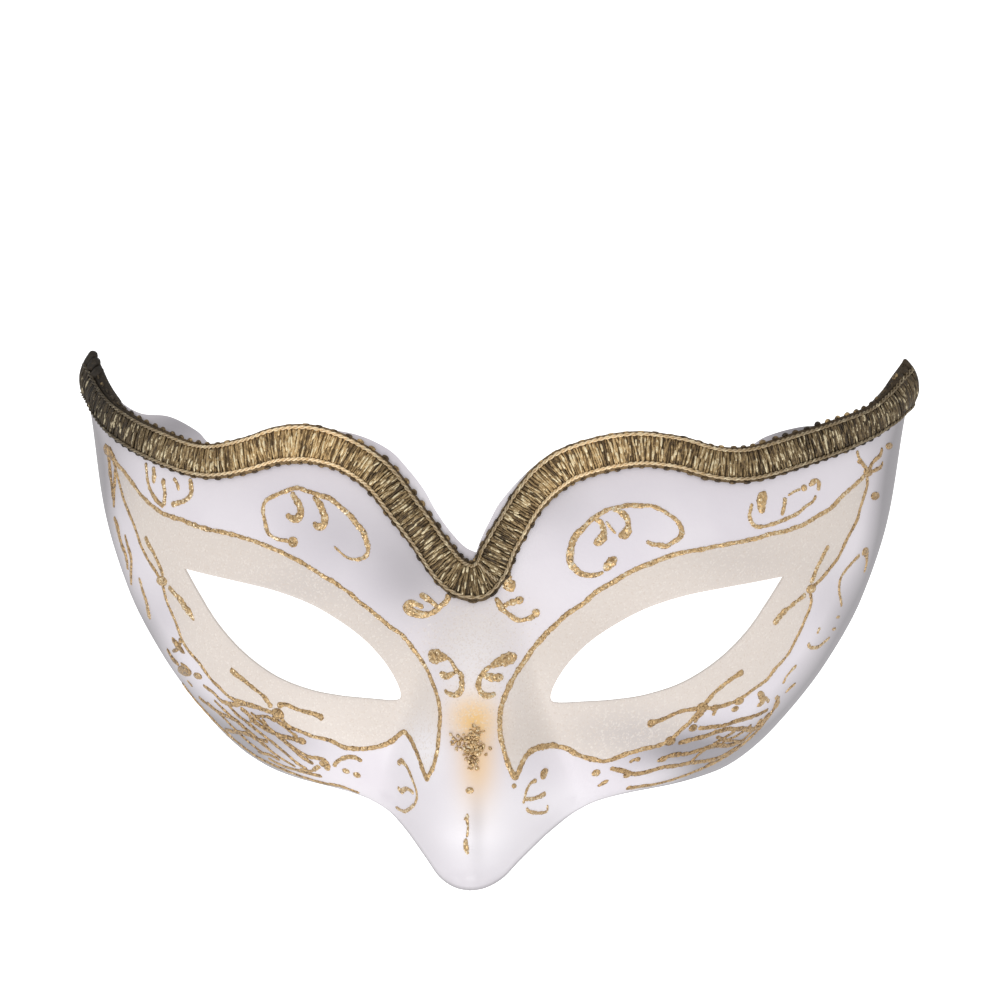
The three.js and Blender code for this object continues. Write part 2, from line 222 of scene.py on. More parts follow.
# The knots at the wing tips: the length along the braid, from its right end where it is below zero,
# and the share of the width where the knot starts. Each goes down to NUB_FOOT.
NUBS = ((0.8, -0.12), (2.6, -0.1), (4.6, -0.05), (-6.2, 0.0), (-4.6, -0.02), (-2.6, -0.02))
NUB_FOOT = 0.3
HEM_INSET = 0.4
# The cords: how far they stop short of the braid's ends, the distance of a ply from the cord's
# middle as a share of its radius, the points to a turn, and how light they are. The cord in the
# fold starts FOLD_CORD_AT beyond the fold, and over the whole width of the braid it would slant by
# FOLD_CORD_SLANT and turn FOLD_CORD_TURNS times.
CORD_INSET = 0.3
CORD_POINTS = 9
PLY_OFFSET = 0.9
CORD_TONE = 0.6
FOLD_CORD_AT = 1.6
FOLD_CORD_SLANT = 0.9
FOLD_CORD_TURNS = 4.5
# The loops along the two edges: the share of the width at their root, how far out they reach, and
# how worn they are, which brings out gold among the brown. A loop's half width is a share of the
# loops' spacing. Worn loops are FLATTENED near the first of each pair of lengths along the braid,
# within the second.
PICOT_ROWS = ((0.06, -0.06, 0.5), (0.93, 0.04, 0))
PICOT_HALF_WIDTH = 0.21
FLAT_PICOTS = ((63, 16), (152, 34))
FLATTENED = 0.9
# The braid's painted light and shade from left to right: the share of the span below, which is in
# metres, and how light its threads are painted. They have painted shade at the wing tips, the
# temples and the fold, and painted light, gold, where the braid crests over the eyes.
BRAID_PAINTED_LIGHT_SPAN = 0.18
BRAID_PAINTED_LIGHT = (
    (0.04, 0.07), (0.1, 0.25), (0.25, 0.95), (0.34, 1), (0.41, 0.45), (0.53, 0.4), (0.6, 0.95),
    (0.65, 0.95), (0.76, 0.6), (0.86, 0.35), (0.98, 0.2),
)

# The camera of the photograph, which is 1000 pixels square: its turn round the mask in degrees,
# its distance and the millimetres to a pixel at the rest plane, and the point that it looks at.
PHOTO_SIZE = 1000
CAMERA_YAW = 3.8
CAMERA_PITCH = 1.76
CAMERA_ROLL = 0.55
CAMERA_DISTANCE = 830
CAMERA_MM_PER_PIXEL = 0.2152
CAMERA_TARGET = (1.25, 26.1 - MIDDLE_V, 0)
SENSOR_WIDTH = 36
CAMERA_SIGHT = 50

# Where the soft lights hang, in metres.
LIGHTS = {
    "key": (0.0, -0.62, 1.02),
    "low": (0.0, -1.0, 0.45),
    "left": (-0.75, -0.75, 0.5),
    "right": (0.75, -0.75, 0.5),
}

# The glitter scrolls, drawn in pixels of the photograph and laid on the shell along the camera's
# rays. Each stroke has its widths in pixels, evenly spaced along it, and its points. A stroke of
# one point is a round blob.
FRAME_UPPER_LEFT = [
    (105, 450), (112, 456), (119, 466), (125, 473), (131, 481), (138, 491), (147, 501), (156, 509),
    (167, 515), (184, 521), (203, 528), (226, 533), (251, 540), (276, 550), (299, 561), (318, 573),
    (337, 584), (360, 602), (388, 625), (403, 636), (419, 657), (428, 672), (436, 692), (440, 711),
    (439, 732), (437, 751), (433, 767), (427, 780),
]
FRAME_LOWER_LEFT = [
    (427, 780), (420, 762), (415, 748), (409, 737), (403, 732), (390, 742), (372, 748), (347, 748),
    (330, 741), (312, 736), (300, 731), (288, 726), (278, 716), (262, 709), (247, 704), (231, 698),
    (219, 687), (210, 678), (201, 665), (190, 652), (182, 640), (178, 628), (172, 613), (166, 599),
    (162, 583), (156, 572), (147, 558), (141, 545), (136, 530), (129, 513), (124, 500), (119, 482),
    (113, 460),
]
FRAME_UPPER_RIGHT = [
    (866, 474), (857, 483), (849, 490), (840, 499), (831, 508), (815, 518), (798, 527), (776, 533),
    (749, 540), (725, 545), (701, 549), (680, 553), (664, 558), (650, 564), (632, 571), (614, 582),
    (595, 593), (580, 606), (564, 617), (548, 632), (533, 649), (519, 670), (509, 687), (503, 703),
    (500, 719), (500, 735), (504, 751), (508, 765), (514, 777),
]
FRAME_LOWER_RIGHT = [
    (517, 777), (524, 759), (533, 750), (549, 746), (565, 748), (581, 756), (605, 761), (624, 755),
    (643, 749), (657, 746), (669, 741), (682, 729), (691, 721), (702, 709), (714, 708), (729, 704),
    (743, 697), (754, 689), (765, 681), (776, 668), (788, 654), (797, 637), (805, 620), (811, 603),
    (811, 590), (821, 579), (832, 566), (840, 554), (848, 537), (857, 520), (862, 502), (867, 486),
    (867, 476),
]
FRAMES = [
    ((6, 4.3, 4.6, 4.4, 4.4, 4, 4.4, 5.2), FRAME_UPPER_LEFT),
    ((5, 5.4, 4.4, 5.4, 4.4, 4.2, 4.2, 4), FRAME_LOWER_LEFT),
    ((5, 4.4, 4.4, 4.4, 4.8, 5.2, 5.6, 5.6), FRAME_UPPER_RIGHT),
    ((6, 5.4, 5, 4.6, 4.4, 4.2, 4.4, 5), FRAME_LOWER_RIGHT),
    ((8.5,), [(515, 776)]),
    ((5,), [(514, 786)]),
    ((5,), [(427, 779)]),
]
SPRIGS = [
    ((7, 6, 4.5, 4.5, 5.5), [(145, 536), (149, 545), (153, 552), (157, 560), (161, 569), (163, 577)]),
    ((10.5,), [(162, 581)]),
    ((5, 5.5, 7, 8.5, 8, 5), [(168, 587), (173, 592), (179, 598), (184, 606), (189, 612), (194, 621)]),
    ((9, 6.5, 5, 5, 5.5, 7), [(230, 669), (237, 675), (247, 683), (256, 690), (264, 697), (272, 708)]),
    ((12.5,), [(278, 714)]),
    ((6, 4.8, 4.4, 5, 7), [(277, 706), (286, 705), (296, 709), (306, 712), (316, 715), (324, 718)]),
    ((4.5, 4.8, 4.6, 5.5), [(829, 545), (824, 554), (820, 562), (815, 572), (811, 584)]),
    ((9.5,), [(811, 589)]),
    ((6, 4.2, 4.6, 7.5, 8), [(806, 594), (798, 600), (790, 607), (783, 613), (774, 625)]),
    ((7.5, 5, 5, 5, 6.5), [(744, 671), (736, 676), (726, 683), (715, 692), (708, 700), (702, 707)]),
    ((12,), [(702, 708)]),
    ((6, 3.8, 3.8, 5, 9), [(698, 709), (687, 710), (677, 713), (666, 718), (655, 722), (647, 725)]),
    ((11,), [(670, 741)]),
    ((8,), [(715, 708)]),
    ((5, 4), [(715, 710), (713, 716)]),
]
BROWS = [
    ((10.5,), [(293, 542)]),
    ((4, 3.6, 4.6, 4.4, 4.2, 4.2, 4.6, 5, 6, 5, 2.6, 1.8), [
        (289, 541), (280, 540), (270, 535), (266, 528), (264, 518), (263, 508), (266, 501),
        (274, 496), (284, 492), (297, 488), (308, 491), (318, 495), (328, 498), (337, 504),
        (346, 512), (355, 522), (362, 530), (366, 540), (368, 549), (366, 556), (360, 559),
        (353, 559), (346, 557), (340, 552), (334, 546),
    ]),
    ((4, 6, 7.5, 6, 8, 9, 6, 4), [
        (291, 492), (296, 500), (300, 506), (301, 513), (298, 518), (293, 519), (286, 514),
    ]),
    ((4, 6, 7, 8, 8, 7, 4), [
        (313, 496), (318, 502), (322, 510), (325, 518), (323, 525), (318, 526), (313, 522),
    ]),
    ((5, 9.5, 9.5, 4.5), [(604, 571), (609, 565), (617, 557)]),
    ((4, 4.6, 6.5, 7, 6.4, 5.2, 5, 4, 4, 4.4, 3.8, 4.2, 6, 4.6, 5.4, 3.4), [
        (604, 572), (596, 575), (586, 575), (577, 571), (571, 564), (570, 556), (571, 548),
        (573, 541), (578, 533), (585, 526), (592, 520), (600, 514), (609, 509), (620, 507),
        (630, 505), (642, 506), (652, 506), (660, 509), (668, 514), (675, 519), (680, 525),
        (682, 532), (679, 538), (673, 542), (666, 546), (660, 545), (652, 544), (646, 541),
    ]),
    ((4, 5, 6, 6, 8.5, 8, 5), [(594, 519), (600, 522), (603, 528), (603, 534), (600, 540), (593, 543)]),
    ((4, 3.5, 6, 7.5, 6.5, 8.5, 8, 5), [
        (612, 509), (619, 511), (625, 515), (628, 521), (628, 528), (625, 534), (618, 536),
    ]),
    ((2.6,), [(606, 521), (611, 528), (616, 534)]),
]
NOTCH_SCROLLS = [
    ((7, 5, 5, 5.5, 6.5, 7.5, 9, 8, 5, 4), [
        (449, 593), (446, 601), (440, 607), (433, 612), (424, 615), (415, 613), (408, 609),
        (409, 604), (415, 604), (424, 608),
    ]),
    ((4, 4.4, 6, 6, 4), [(438, 608), (432, 602), (426, 598), (419, 594)]),
    ((9, 13, 13.5, 12, 7), [(506, 574), (508, 582), (513, 592)]),
    ((5, 5.5, 6, 4.6, 5.5, 4, 4, 6), [
        (496, 597), (499, 604), (502, 609), (507, 613), (512, 617), (519, 620), (527, 619),
        (535, 616),
    ]),
    ((8.5,), [(536, 613)]),
    ((4.5, 4.5, 7, 7.5, 4), [(502, 608), (508, 604), (516, 601), (524, 598)]),
    ((10, 14, 13, 8, 5), [(429, 651), (434, 656), (440, 657), (448, 658)]),
    ((4, 3.4, 3.8, 5, 6, 6, 4.5, 3), [
        (447, 657), (452, 662), (456, 669), (461, 674), (462, 682), (461, 690), (456, 695),
        (449, 694), (444, 690),
    ]),
    ((4, 5.5, 6.5, 5), [(459, 671), (452, 674), (446, 676), (439, 673)]),
    ((6, 11, 10.5, 8, 5), [(517, 655), (508, 659), (499, 662), (490, 667)]),
    ((4.6, 4.6, 5, 6, 6, 6, 4), [
        (491, 666), (483, 672), (479, 681), (479, 688), (483, 694), (490, 696), (496, 693),
    ]),
    ((5, 7, 7.5, 5), [(483, 674), (490, 677), (498, 678), (504, 677)]),
]
CORNER_SCROLLS = [
    ((4, 4, 4.6, 4.6, 6), [(146, 462), (147, 475), (149, 486), (153, 495), (158, 502), (164, 506)]),
    ((5, 6, 5), [(153, 466), (154, 475), (154, 484)]),
    ((6, 4.6, 4.6, 6), [(163, 478), (164, 485), (165, 492), (164, 500), (163, 506)]),
    ((4, 4.6, 3), [(173, 478), (177, 484), (179, 491)]),
    ((5, 5.4, 5.4, 4.6, 6), [(190, 478), (191, 486), (191, 494), (186, 500), (180, 502), (171, 505)]),
    ((4, 9, 11.5, 11, 6), [(766, 491), (762, 499), (761, 506), (762, 514)]),
    ((3, 4.4, 4, 3.6, 4.2, 4, 3.6, 3.4), [
        (752, 503), (750, 511), (750, 518), (755, 526), (764, 527), (772, 524), (780, 521),
        (788, 518), (797, 514), (804, 508), (812, 502), (816, 495),
    ]),
    ((5.5, 4.2, 4), [(785, 497), (784, 506), (782, 516)]),
    ((2.6,), [(788, 496), (796, 491), (801, 489)]),
    ((6.5,), [(804, 488)]),
    ((4, 5.5, 5.5, 5), [(809, 486), (813, 482), (818, 481), (819, 486), (818, 491)]),
    ((8.5,), [(875, 496)]),
    ((9.5,), [(868, 472)]),
    ((5, 4.6, 4, 3.4), [(867, 470), (862, 463), (858, 456), (857, 450)]),
    ((3.4,), [(862, 463), (857, 462)]),
    ((5, 5, 5.6, 4), [(869, 469), (874, 461), (880, 455), (882, 447)]),
    ((4, 4.6, 3.4), [(872, 471), (880, 468), (883, 461)]),
    ((7,), [(889, 446)]),
    ((9, 12, 9), [(104, 448), (110, 453), (115, 460)]),
    ((5, 7, 8, 6, 4), [(107, 447), (109, 459), (110, 472), (112, 486), (113, 500)]),
    ((5, 6, 5, 5.4), [(116, 462), (115, 478), (114, 495), (114, 508)]),
]
SIDE_SCROLLS = [
    ((7, 9.5, 7, 9, 7, 5), [(114, 517), (117, 524), (119, 534), (122, 545), (126, 556), (128, 570)]),
    ((5, 7, 6, 5, 5), [(125, 534), (128, 546), (131, 558), (131, 570), (131, 584)]),
    ((5, 6, 7, 8, 6), [(139, 577), (142, 588), (146, 600), (148, 609), (149, 618)]),
    ((6, 10, 9, 5), [(172, 637), (175, 642), (180, 648), (185, 653)]),
    ((7, 10, 9, 5), [(167, 648), (170, 654), (174, 660), (179, 664)]),
    ((4,), [(180, 638), (179, 647), (173, 652)]),
    ((12.5,), [(185, 671)]),
    ((6,), [(181, 664), (187, 668), (192, 674)]),
    ((8,), [(198, 676)]),
    ((4, 4), [(187, 680), (193, 687)]),
    ((9, 9, 6, 4.6, 4), [(862, 552), (866, 552), (867, 559), (866, 566), (864, 573)]),
    ((5, 3.8, 3.8, 4, 3.4, 3), [(860, 555), (852, 563), (846, 570), (841, 578), (839, 590), (842, 606)]),
    ((3.6,), [(838, 617)]),
    ((3.6,), [(834, 629)]),
    ((4, 4.2, 4.6, 4, 4), [(830, 637), (824, 642), (818, 647), (811, 648), (808, 643)]),
    ((4, 4.6), [(817, 634), (820, 627)]),
    ((7, 4, 3.6, 3.6), [(797, 665), (791, 671), (786, 677), (783, 684)]),
    ((5, 4, 4), [(796, 683), (790, 688), (785, 693)]),
    ((9.5,), [(739, 701)]),
    ((7,), [(735, 709)]),
    ((5, 8, 8, 5), [(758, 692), (762, 697), (762, 703), (757, 705)]),
    ((4,), [(765, 697), (769, 702)]),
]
NET_LEFT = [
    ((7, 8, 7, 8, 7, 7.5, 7, 6.5, 6), [
        (182, 682), (191, 694), (201, 706), (213, 719), (225, 731), (240, 744), (258, 757),
        (276, 766), (298, 775), (320, 782), (340, 786), (360, 793),
    ]),
    ((5.5, 6), [(199, 697), (210, 706), (222, 714), (234, 719), (246, 729), (258, 739), (270, 750)]),
    ((5, 6, 6), [(203, 685), (213, 692), (222, 701), (233, 704), (245, 704), (256, 707)]),
    ((5.5, 6, 5.5), [(226, 730), (236, 732), (248, 734), (258, 740), (268, 741)]),
    ((6, 5.5, 6), [(240, 708), (247, 713), (254, 721), (264, 728), (276, 734), (290, 738), (301, 741)]),
    ((5,), [(228, 704), (238, 715), (252, 726), (268, 739), (282, 750), (296, 762), (308, 770)]),
    ((5,), [(262, 718), (272, 731), (288, 744), (302, 757), (314, 764)]),
    ((5,), [(258, 752), (270, 755), (280, 760)]),
    ((5,), [(207, 702), (220, 714), (234, 728), (250, 743), (266, 755)]),
    ((4.6,), [(214, 700), (228, 713), (244, 727), (260, 742), (278, 756), (296, 767)]),
    ((4.6,), [(250, 712), (264, 724), (280, 737), (296, 749), (310, 758)]),
    ((4.6,), [(272, 716), (286, 728), (298, 738)]),
    ((5,), [(268, 758), (284, 766), (304, 772), (322, 776)]),
    ((4,), [(250, 722), (258, 717), (268, 717), (276, 722)]),
    ((4, 5, 5.6, 6), [(300, 752), (310, 757), (322, 759), (328, 765), (326, 770)]),
    ((4.4,), [(300, 769), (310, 771), (320, 766)]),
    ((8.5,), [(302, 741)]),
    ((9,), [(324, 764)]),
    ((4.6, 4.6, 5, 6), [(334, 767), (339, 760), (348, 757), (357, 758), (362, 762)]),
    ((7,), [(346, 771)]),
    ((7.5,), [(357, 775)]),
]
NET_RIGHT = [
    ((8, 6, 5.6, 5.6, 6, 6, 6.5, 6.5, 5), [
        (626, 788), (636, 787), (650, 785), (664, 782), (680, 777), (696, 771), (712, 764),
        (728, 755), (743, 744), (756, 732), (766, 720), (774, 708), (779, 696),
    ]),
    ((6, 5.4, 6, 6.4, 6), [
        (610, 768), (622, 771), (634, 774), (648, 772), (660, 768), (674, 766), (690, 763),
        (706, 761), (718, 758), (730, 752), (742, 744),
    ]),
    ((6.5, 5.4, 6, 6), [
        (657, 761), (664, 758), (673, 755), (686, 754), (700, 750), (714, 746), (730, 745),
        (745, 740),
    ]),
    ((6, 5.4, 5.6, 6.4, 6.6), [
        (678, 743), (690, 740), (702, 737), (714, 733), (728, 729), (742, 729), (755, 729),
        (762, 722), (770, 712),
    ]),
    ((5, 5, 5.6, 5), [(698, 728), (712, 727), (726, 725), (740, 720), (754, 716), (768, 710)]),
    ((5,), [(694, 723), (698, 717), (704, 712)]),
    ((4,), [(704, 767), (720, 757), (736, 747)]),
    ((4,), [(722, 742), (738, 735), (752, 724)]),
    ((4,), [(716, 737), (730, 741), (744, 741)]),
    ((8.5,), [(693, 728)]),
    ((5,), [(776, 696), (778, 704), (771, 712)]),
    ((4.4,), [(712, 745), (724, 738), (736, 730)]),
    ((4.4,), [(690, 763), (700, 753), (712, 745)]),
    ((4.4,), [(742, 741), (752, 731), (762, 718)]),
    ((4, 5), [(629, 763), (634, 760), (641, 759)]),
    ((8,), [(663, 759)]),
    ((8,), [(627, 775)]),
    ((9,), [(596, 773)]),
    ((4, 5.5, 4), [(597, 786), (602, 784), (609, 780)]),
]
CHEEKS = [
    ((6, 3.6, 3.8, 4, 4, 3.6, 3.8), [
        (398, 765), (401, 761), (406, 766), (410, 773), (413, 781), (416, 790), (417, 798),
        (413, 806), (405, 811), (396, 808),
    ]),
    ((5, 5.5, 3.6, 5), [(398, 786), (401, 791), (407, 789), (414, 793)]),
    ((6, 9.5, 9, 6), [(541, 779), (544, 774), (548, 769)]),
    ((5.5, 4, 3.6, 3.4, 4), [(537, 780), (531, 783), (527, 790), (525, 797), (523, 804)]),
    ((3.4, 4, 3.4, 3), [(526, 808), (531, 812), (540, 813), (547, 811), (547, 805)]),
    ((3.4, 3.6, 4.4, 7), [(525, 799), (532, 799), (539, 797), (546, 793)]),
]
NOSE_LINE = [
    ((9, 11, 9), [(470, 787), (470, 794)]),
    ((2.4, 2.8, 2.4), [(467, 813), (468, 826), (467, 838)]),
    ((2, 3), [(469, 816), (464, 820)]),
    ((3, 5, 5, 2.6), [(466, 838), (466, 845), (468, 855)]),
]
STROKES = [
    *FRAMES, *SPRIGS, *BROWS, *NOTCH_SCROLLS, *CORNER_SCROLLS, *SIDE_SCROLLS, *NET_LEFT,
    *NET_RIGHT, *CHEEKS, *NOSE_LINE,
]
# The heap of loose glitter on the bridge of the nose: where its grains lie thickest, in pixels.
HEAP_ARMS = [
    ((456, 741), (470, 745)), ((470, 745), (479, 729)), ((470, 745), (484, 752)),
    ((472, 745), (474, 768)), ((462, 748), (478, 756)),
]
HEAP_GRAINS = 210
HEAP_SPREAD = 3.2
# Spots of the paint, in pixels of the photograph, each as its strength, its centre and how far it
# reaches across and up: the gold glow on the nose, the dusting of fine glitter under the braid's
# fold, painted shade over the nets of scrolls, painted shade elsewhere, and painted highlights.
GLOWS = ((0.62, (472, 716), 26, 22), (0.62, (477, 760), 19, 44))
DUSTS = ((1.0, (476, 634), 50, 42), (1.0, (474, 700), 26, 40))
NET_SHADES = ((1.0, (705, 752), 66, 24), (0.8, (250, 738), 60, 34))
# Painted shade, in grey, where the face lies in shade.
SHADES = (
    (0.36, (350, 535), 70, 36), (0.6, (412, 578), 44, 44), (0.26, (555, 500), 40, 40),
    (0.8, (98, 465), 28, 60), (0.65, (896, 480), 26, 70), (0.42, (640, 735), 60, 25),
    (0.3, (477, 825), 8, 40), (1.0, (800, 430), 50, 18), (0.75, (178, 425), 40, 18),
    (0.2, (300, 590), 60, 24), (0.15, (740, 560), 60, 24), (0.4, (472, 886), 44, 13),
    (0.25, (835, 600), 24, 40), (0.28, (152, 625), 26, 36),
)
# Painted highlights, in near-white paint, on the nose and its bridge, under the notch, low on the cheeks
# and on the strips of shell beside the braid's fold.
PAINTED_HIGHLIGHTS = (
    (1.0, (482, 828), 54, 50), (0.8, (425, 748), 22, 30), (0.5, (475, 655), 32, 38),
    (0.7, (472, 708), 34, 30), (0.8, (432, 500), 24, 60), (0.8, (515, 500), 14, 60),
    (0.5, (560, 800), 40, 24),
)
# Where the glitter of the scrolls is darkened by painted shade, on the nets and at the sides, as
# spots of the same kind.
SHADED_GLITTER = (
    (1, (250, 740), 76, 44), (1, (700, 745), 100, 40), (1, (105, 500), 36, 110),
    (1, (895, 500), 36, 90), (1, (170, 660), 30, 30),
)
# The frames' cream ends over FRAME_SOFTNESS pixels.
FRAME_SOFTNESS = 4

# The drawn lines of glitter: the pixels from one point to the next, the half width in millimetres
# at which a line has its full height, how much higher a wide line may be, how deep its surface is
# roughened as a share of a grain, and how much its width swells and thins.
DRAWN_STEP = 1.5
FULL_HALF_WIDTH = 0.6
HIGHEST_LINE = 1.4
ROUGHENED = 0.22
LUMPS = 0.25

# The materials' patterns, as flakes, clouds or grains to a metre.
PAINT_CLOUDS = 45
PAINT_FLAKES = 3300
PAINT_GRAINS = 900
PLASTIC_CLOUDS = 60
PLASTIC_GRAINS = 1500
RIM_CLOUDS = 500
GLITTER_FLAKES = 2900
GLITTER_PATCHES = 700
GROUND_GRAINS = 1800
THREAD_GRAINS = 900
# How light a thread is painted changes with its turns and, FINER times as often, along its fibres:
# painted glints. Where it is lightest, the braid's painted light and shade from left to right
# counts for less, by GLINT_KEPT.
FINER = 4
TURN_CONTRAST = 1.3
FINE_CONTRAST = 0.7
TONE_SHIFT = 0.37
GLINT_KEPT = 0.7
PAINT_FLAKE_STOPS = [(0, (0.60, 0.50, 0.42)), (0.5, (0.78, 0.69, 0.62)), (1, (0.98, 0.92, 0.86))]
GLITTER_SPARK = (1, 0.93, 0.74)


def curve_through(pairs):
    """A smooth curve through (at, value) pairs that never overshoots them."""
    at, value = np.array(pairs, float).T
    slope = np.diff(value) / np.diff(at)
    both = slope[:-1] * slope[1:]
    total = np.where(both > 0, slope[:-1] + slope[1:], 1)
    middle = np.where(both > 0, 2 * both / total, 0)
    tangent = np.concatenate([slope[:1], middle, slope[-1:]])

    def curve(x):
        i = np.clip(np.searchsorted(at, x) - 1, 0, len(at) - 2)
        span = at[i + 1] - at[i]
        t = np.clip((x - at[i]) / span, 0, 1)
        return (
            (1 + 2 * t) * (1 - t) ** 2 * value[i]
            + t * (1 - t) ** 2 * span * tangent[i]
            + t * t * (3 - 2 * t) * value[i + 1]
            + t * t * (t - 1) * span * tangent[i + 1]
        )

    return curve


half_width_at = curve_through(HALF_WIDTH)
face_depth_at = curve_through(FACE_DEPTH)
nose_rise_at = curve_through(NOSE_RISE)
nose_half_width_at = curve_through(NOSE_HALF_WIDTH)


def face_from_front(points):
    """Face coordinates of points given as they are seen from the front."""
    x, v = np.atleast_2d(np.array(points, float)).T
    share = np.clip(x / half_width_at(v), -1, 1)
    return np.stack([WRAP_RADIUS * np.arcsin(share), v], axis=1)


def plain_face(places):
    """The moulded face without its rolled edges, in millimetres of the frame."""
    u, v = places.T
    share = np.sin(np.clip(u / WRAP_RADIUS, -math.pi / 2, math.pi / 2))
    x = half_width_at(v) * share
    fall = np.maximum(0, 1 - np.abs(share) ** FACE_SQUARENESS) ** FACE_FULLNESS
    nose_share = np.minimum(1, np.abs(x) / nose_half_width_at(v))
    nose = nose_rise_at(v) * (1 - nose_share**NOSE_FLATNESS) ** 2
    across = (np.abs(x) - EYE_CENTRE[0]) / SOCKET_ACROSS
    up = (v - EYE_CENTRE[1]) / SOCKET_UP
    fade = np.minimum(1, (1 - np.abs(share)) / SOCKET_FADE)
    socket = SOCKET_DEPTH * fade * np.exp(-across * across - up * up)
    z = np.maximum(0, face_depth_at(v) * fall + nose - socket)
    return np.stack([x, v - MIDDLE_V, z], axis=1)


def places_under(points):
    """Face coordinates of points of the frame, which are in metres."""
    return face_from_front(np.array(points)[:, :2] / MM + [0, MIDDLE_V])


def smooth_line(corners, steps=24):
    """A smooth line through the corners, with many short steps."""
    points = np.array(corners, float)
    ahead = np.vstack([points[:1], points[:-1]])[:-1]
    start = points[:-1]
    end = points[1:]
    beyond = np.vstack([points[1:], points[-1:]])[1:]
    t = np.linspace(0, 1, steps, endpoint=False)[:, None, None]
    leave = (end - ahead) / 2
    arrive = (beyond - start) / 2
    spans = (
        (2 * start - 2 * end + leave + arrive) * t**3
        + (3 * end - 3 * start - 2 * leave - arrive) * t**2
        + leave * t
        + start
    )
    return np.vstack([spans.transpose(1, 0, 2).reshape(-1, points.shape[1]), points[-1:]])


def smooth_ring(corners, steps=24):
    """A smooth closed line through the corners."""
    return smooth_line(np.vstack([corners, corners[:1]]), steps)


def run_of(line):
    """The length along a line up to each of its points."""
    return np.concatenate([[0], np.cumsum(np.linalg.norm(np.diff(line, axis=0), axis=1))])


def at_lengths(line, run, lengths):
    """The points of a line at the given lengths along it."""
    return np.stack([np.interp(lengths, run, column) for column in line.T], axis=1)


def evenly(line, count):
    """A line cut into equal steps."""
    run = run_of(line)
    return at_lengths(line, run, np.linspace(0, run[-1], count + 1))


def unit(vectors):
    """The vectors at length one."""
    return vectors / np.maximum(1e-12, np.linalg.norm(vectors, axis=1))[:, None]


def sided(side, points):
    """Face coordinates, on either side, of points that are given for the right side."""
    return face_from_front([(side * x, v) for x, v in points])


def edges_of(side):
    """The free edges of one side in face coordinates: 1 is right and -1 is left."""
    top = TOP_EDGE_RIGHT if side > 0 else TOP_EDGE_LEFT
    braid = BRAID_EDGE_RIGHT if side > 0 else BRAID_EDGE_LEFT
    tip_angle, tip_v = TIP_RIGHT if side > 0 else TIP_LEFT
    tip = np.array([[side * WRAP_RADIUS * math.radians(tip_angle), tip_v]])
    wall_top = np.array([[side * WALL_U, WALL_TOP_V]])
    wall_foot = np.array([[side * WALL_U, WALL_FOOT_V]])
    bulge = (tip + wall_top) / 2 + [[side * BACK_BULGE, BACK_BULGE]]
    lower = [wall_foot, sided(side, LOWER_EDGE), face_from_front(NOSE_TIP)]
    return {
        "tip": tip,
        "braid": sided(side, braid),
        "top": smooth_line(np.vstack([face_from_front(NOTCH), sided(side, top), tip])),
        "back": smooth_line(np.vstack([tip, bulge, wall_top])),
        "wall": np.vstack([wall_top, wall_foot]),
        "lower": smooth_line(np.vstack(lower)),
    }


LEFT = edges_of(-1)
RIGHT = edges_of(1)
BRAID_LINE = smooth_line(
    np.vstack([
        LEFT["tip"], LEFT["braid"][::-1], face_from_front(BRAID_FOLD), RIGHT["braid"], RIGHT["tip"],
    ]),
    steps=60,
)


def far_from(places, line):
    """The distance from each place to a line, and the index of the line's nearest point."""
    near = np.empty(len(places), int)
    far = np.empty(len(places))
    for start in range(0, len(places), 2000):
        part = places[start : start + 2000]
        gaps = np.linalg.norm(part[:, None] - line[None], axis=2)
        near[start : start + 2000] = gaps.argmin(axis=1)
        far[start : start + 2000] = gaps.min(axis=1)
    return far, near


def beyond_braid(places):
    """How far places lie above the upper side of the braid; negative below it."""
    line = evenly(BRAID_LINE, 900)
    _, near = far_from(places, line)
    start = line[np.maximum(0, near - 1)]
    run = unit(line[np.minimum(len(line) - 1, near + 1)] - start)
    away = places - start
    return run[:, 0] * away[:, 1] - run[:, 1] * away[:, 0]


def from_lower_edge(places):
    """The distance from each place to the shell's lower edge."""
    return far_from(places, np.vstack([evenly(edges["lower"], 300) for edges in (LEFT, RIGHT)]))[0]


def shell_face(places):
    """The outer surface of the shell, with its edges turned back."""
    points = plain_face(places)
    beside_notch = np.clip((np.abs(places[:, 0]) - NOTCH_REACH) / NOTCH_FADE, 0, 1)
    turn_back = NOTCH_TURN_BACK + (TURN_BACK - NOTCH_TURN_BACK) * beside_notch
    turned = turn_back * np.maximum(0, beyond_braid(places))
    rolled = ROLL_DEPTH * np.maximum(0, 1 - from_lower_edge(places) / ROLL_WIDTH) ** 2
    points[:, 2] -= np.minimum(turned + rolled, points[:, 2] * MOST_TURNED)
    return points


def face_slopes(places):
    """How points of the plain face move for a step round the head and for a step up."""
    round_head, up = (
        (plain_face(places + step) - plain_face(places - step)) / (2 * SLOPE_STEP)
        for step in np.diag([SLOPE_STEP, SLOPE_STEP])
    )
    return round_head, up


def face_normals(places):
    """The outward normals of the plain face."""
    return unit(np.cross(*face_slopes(places)))


def row_products(one, other):
    """The dot product of each row of one table with the same row of the other."""
    return np.sum(one * other, axis=1)


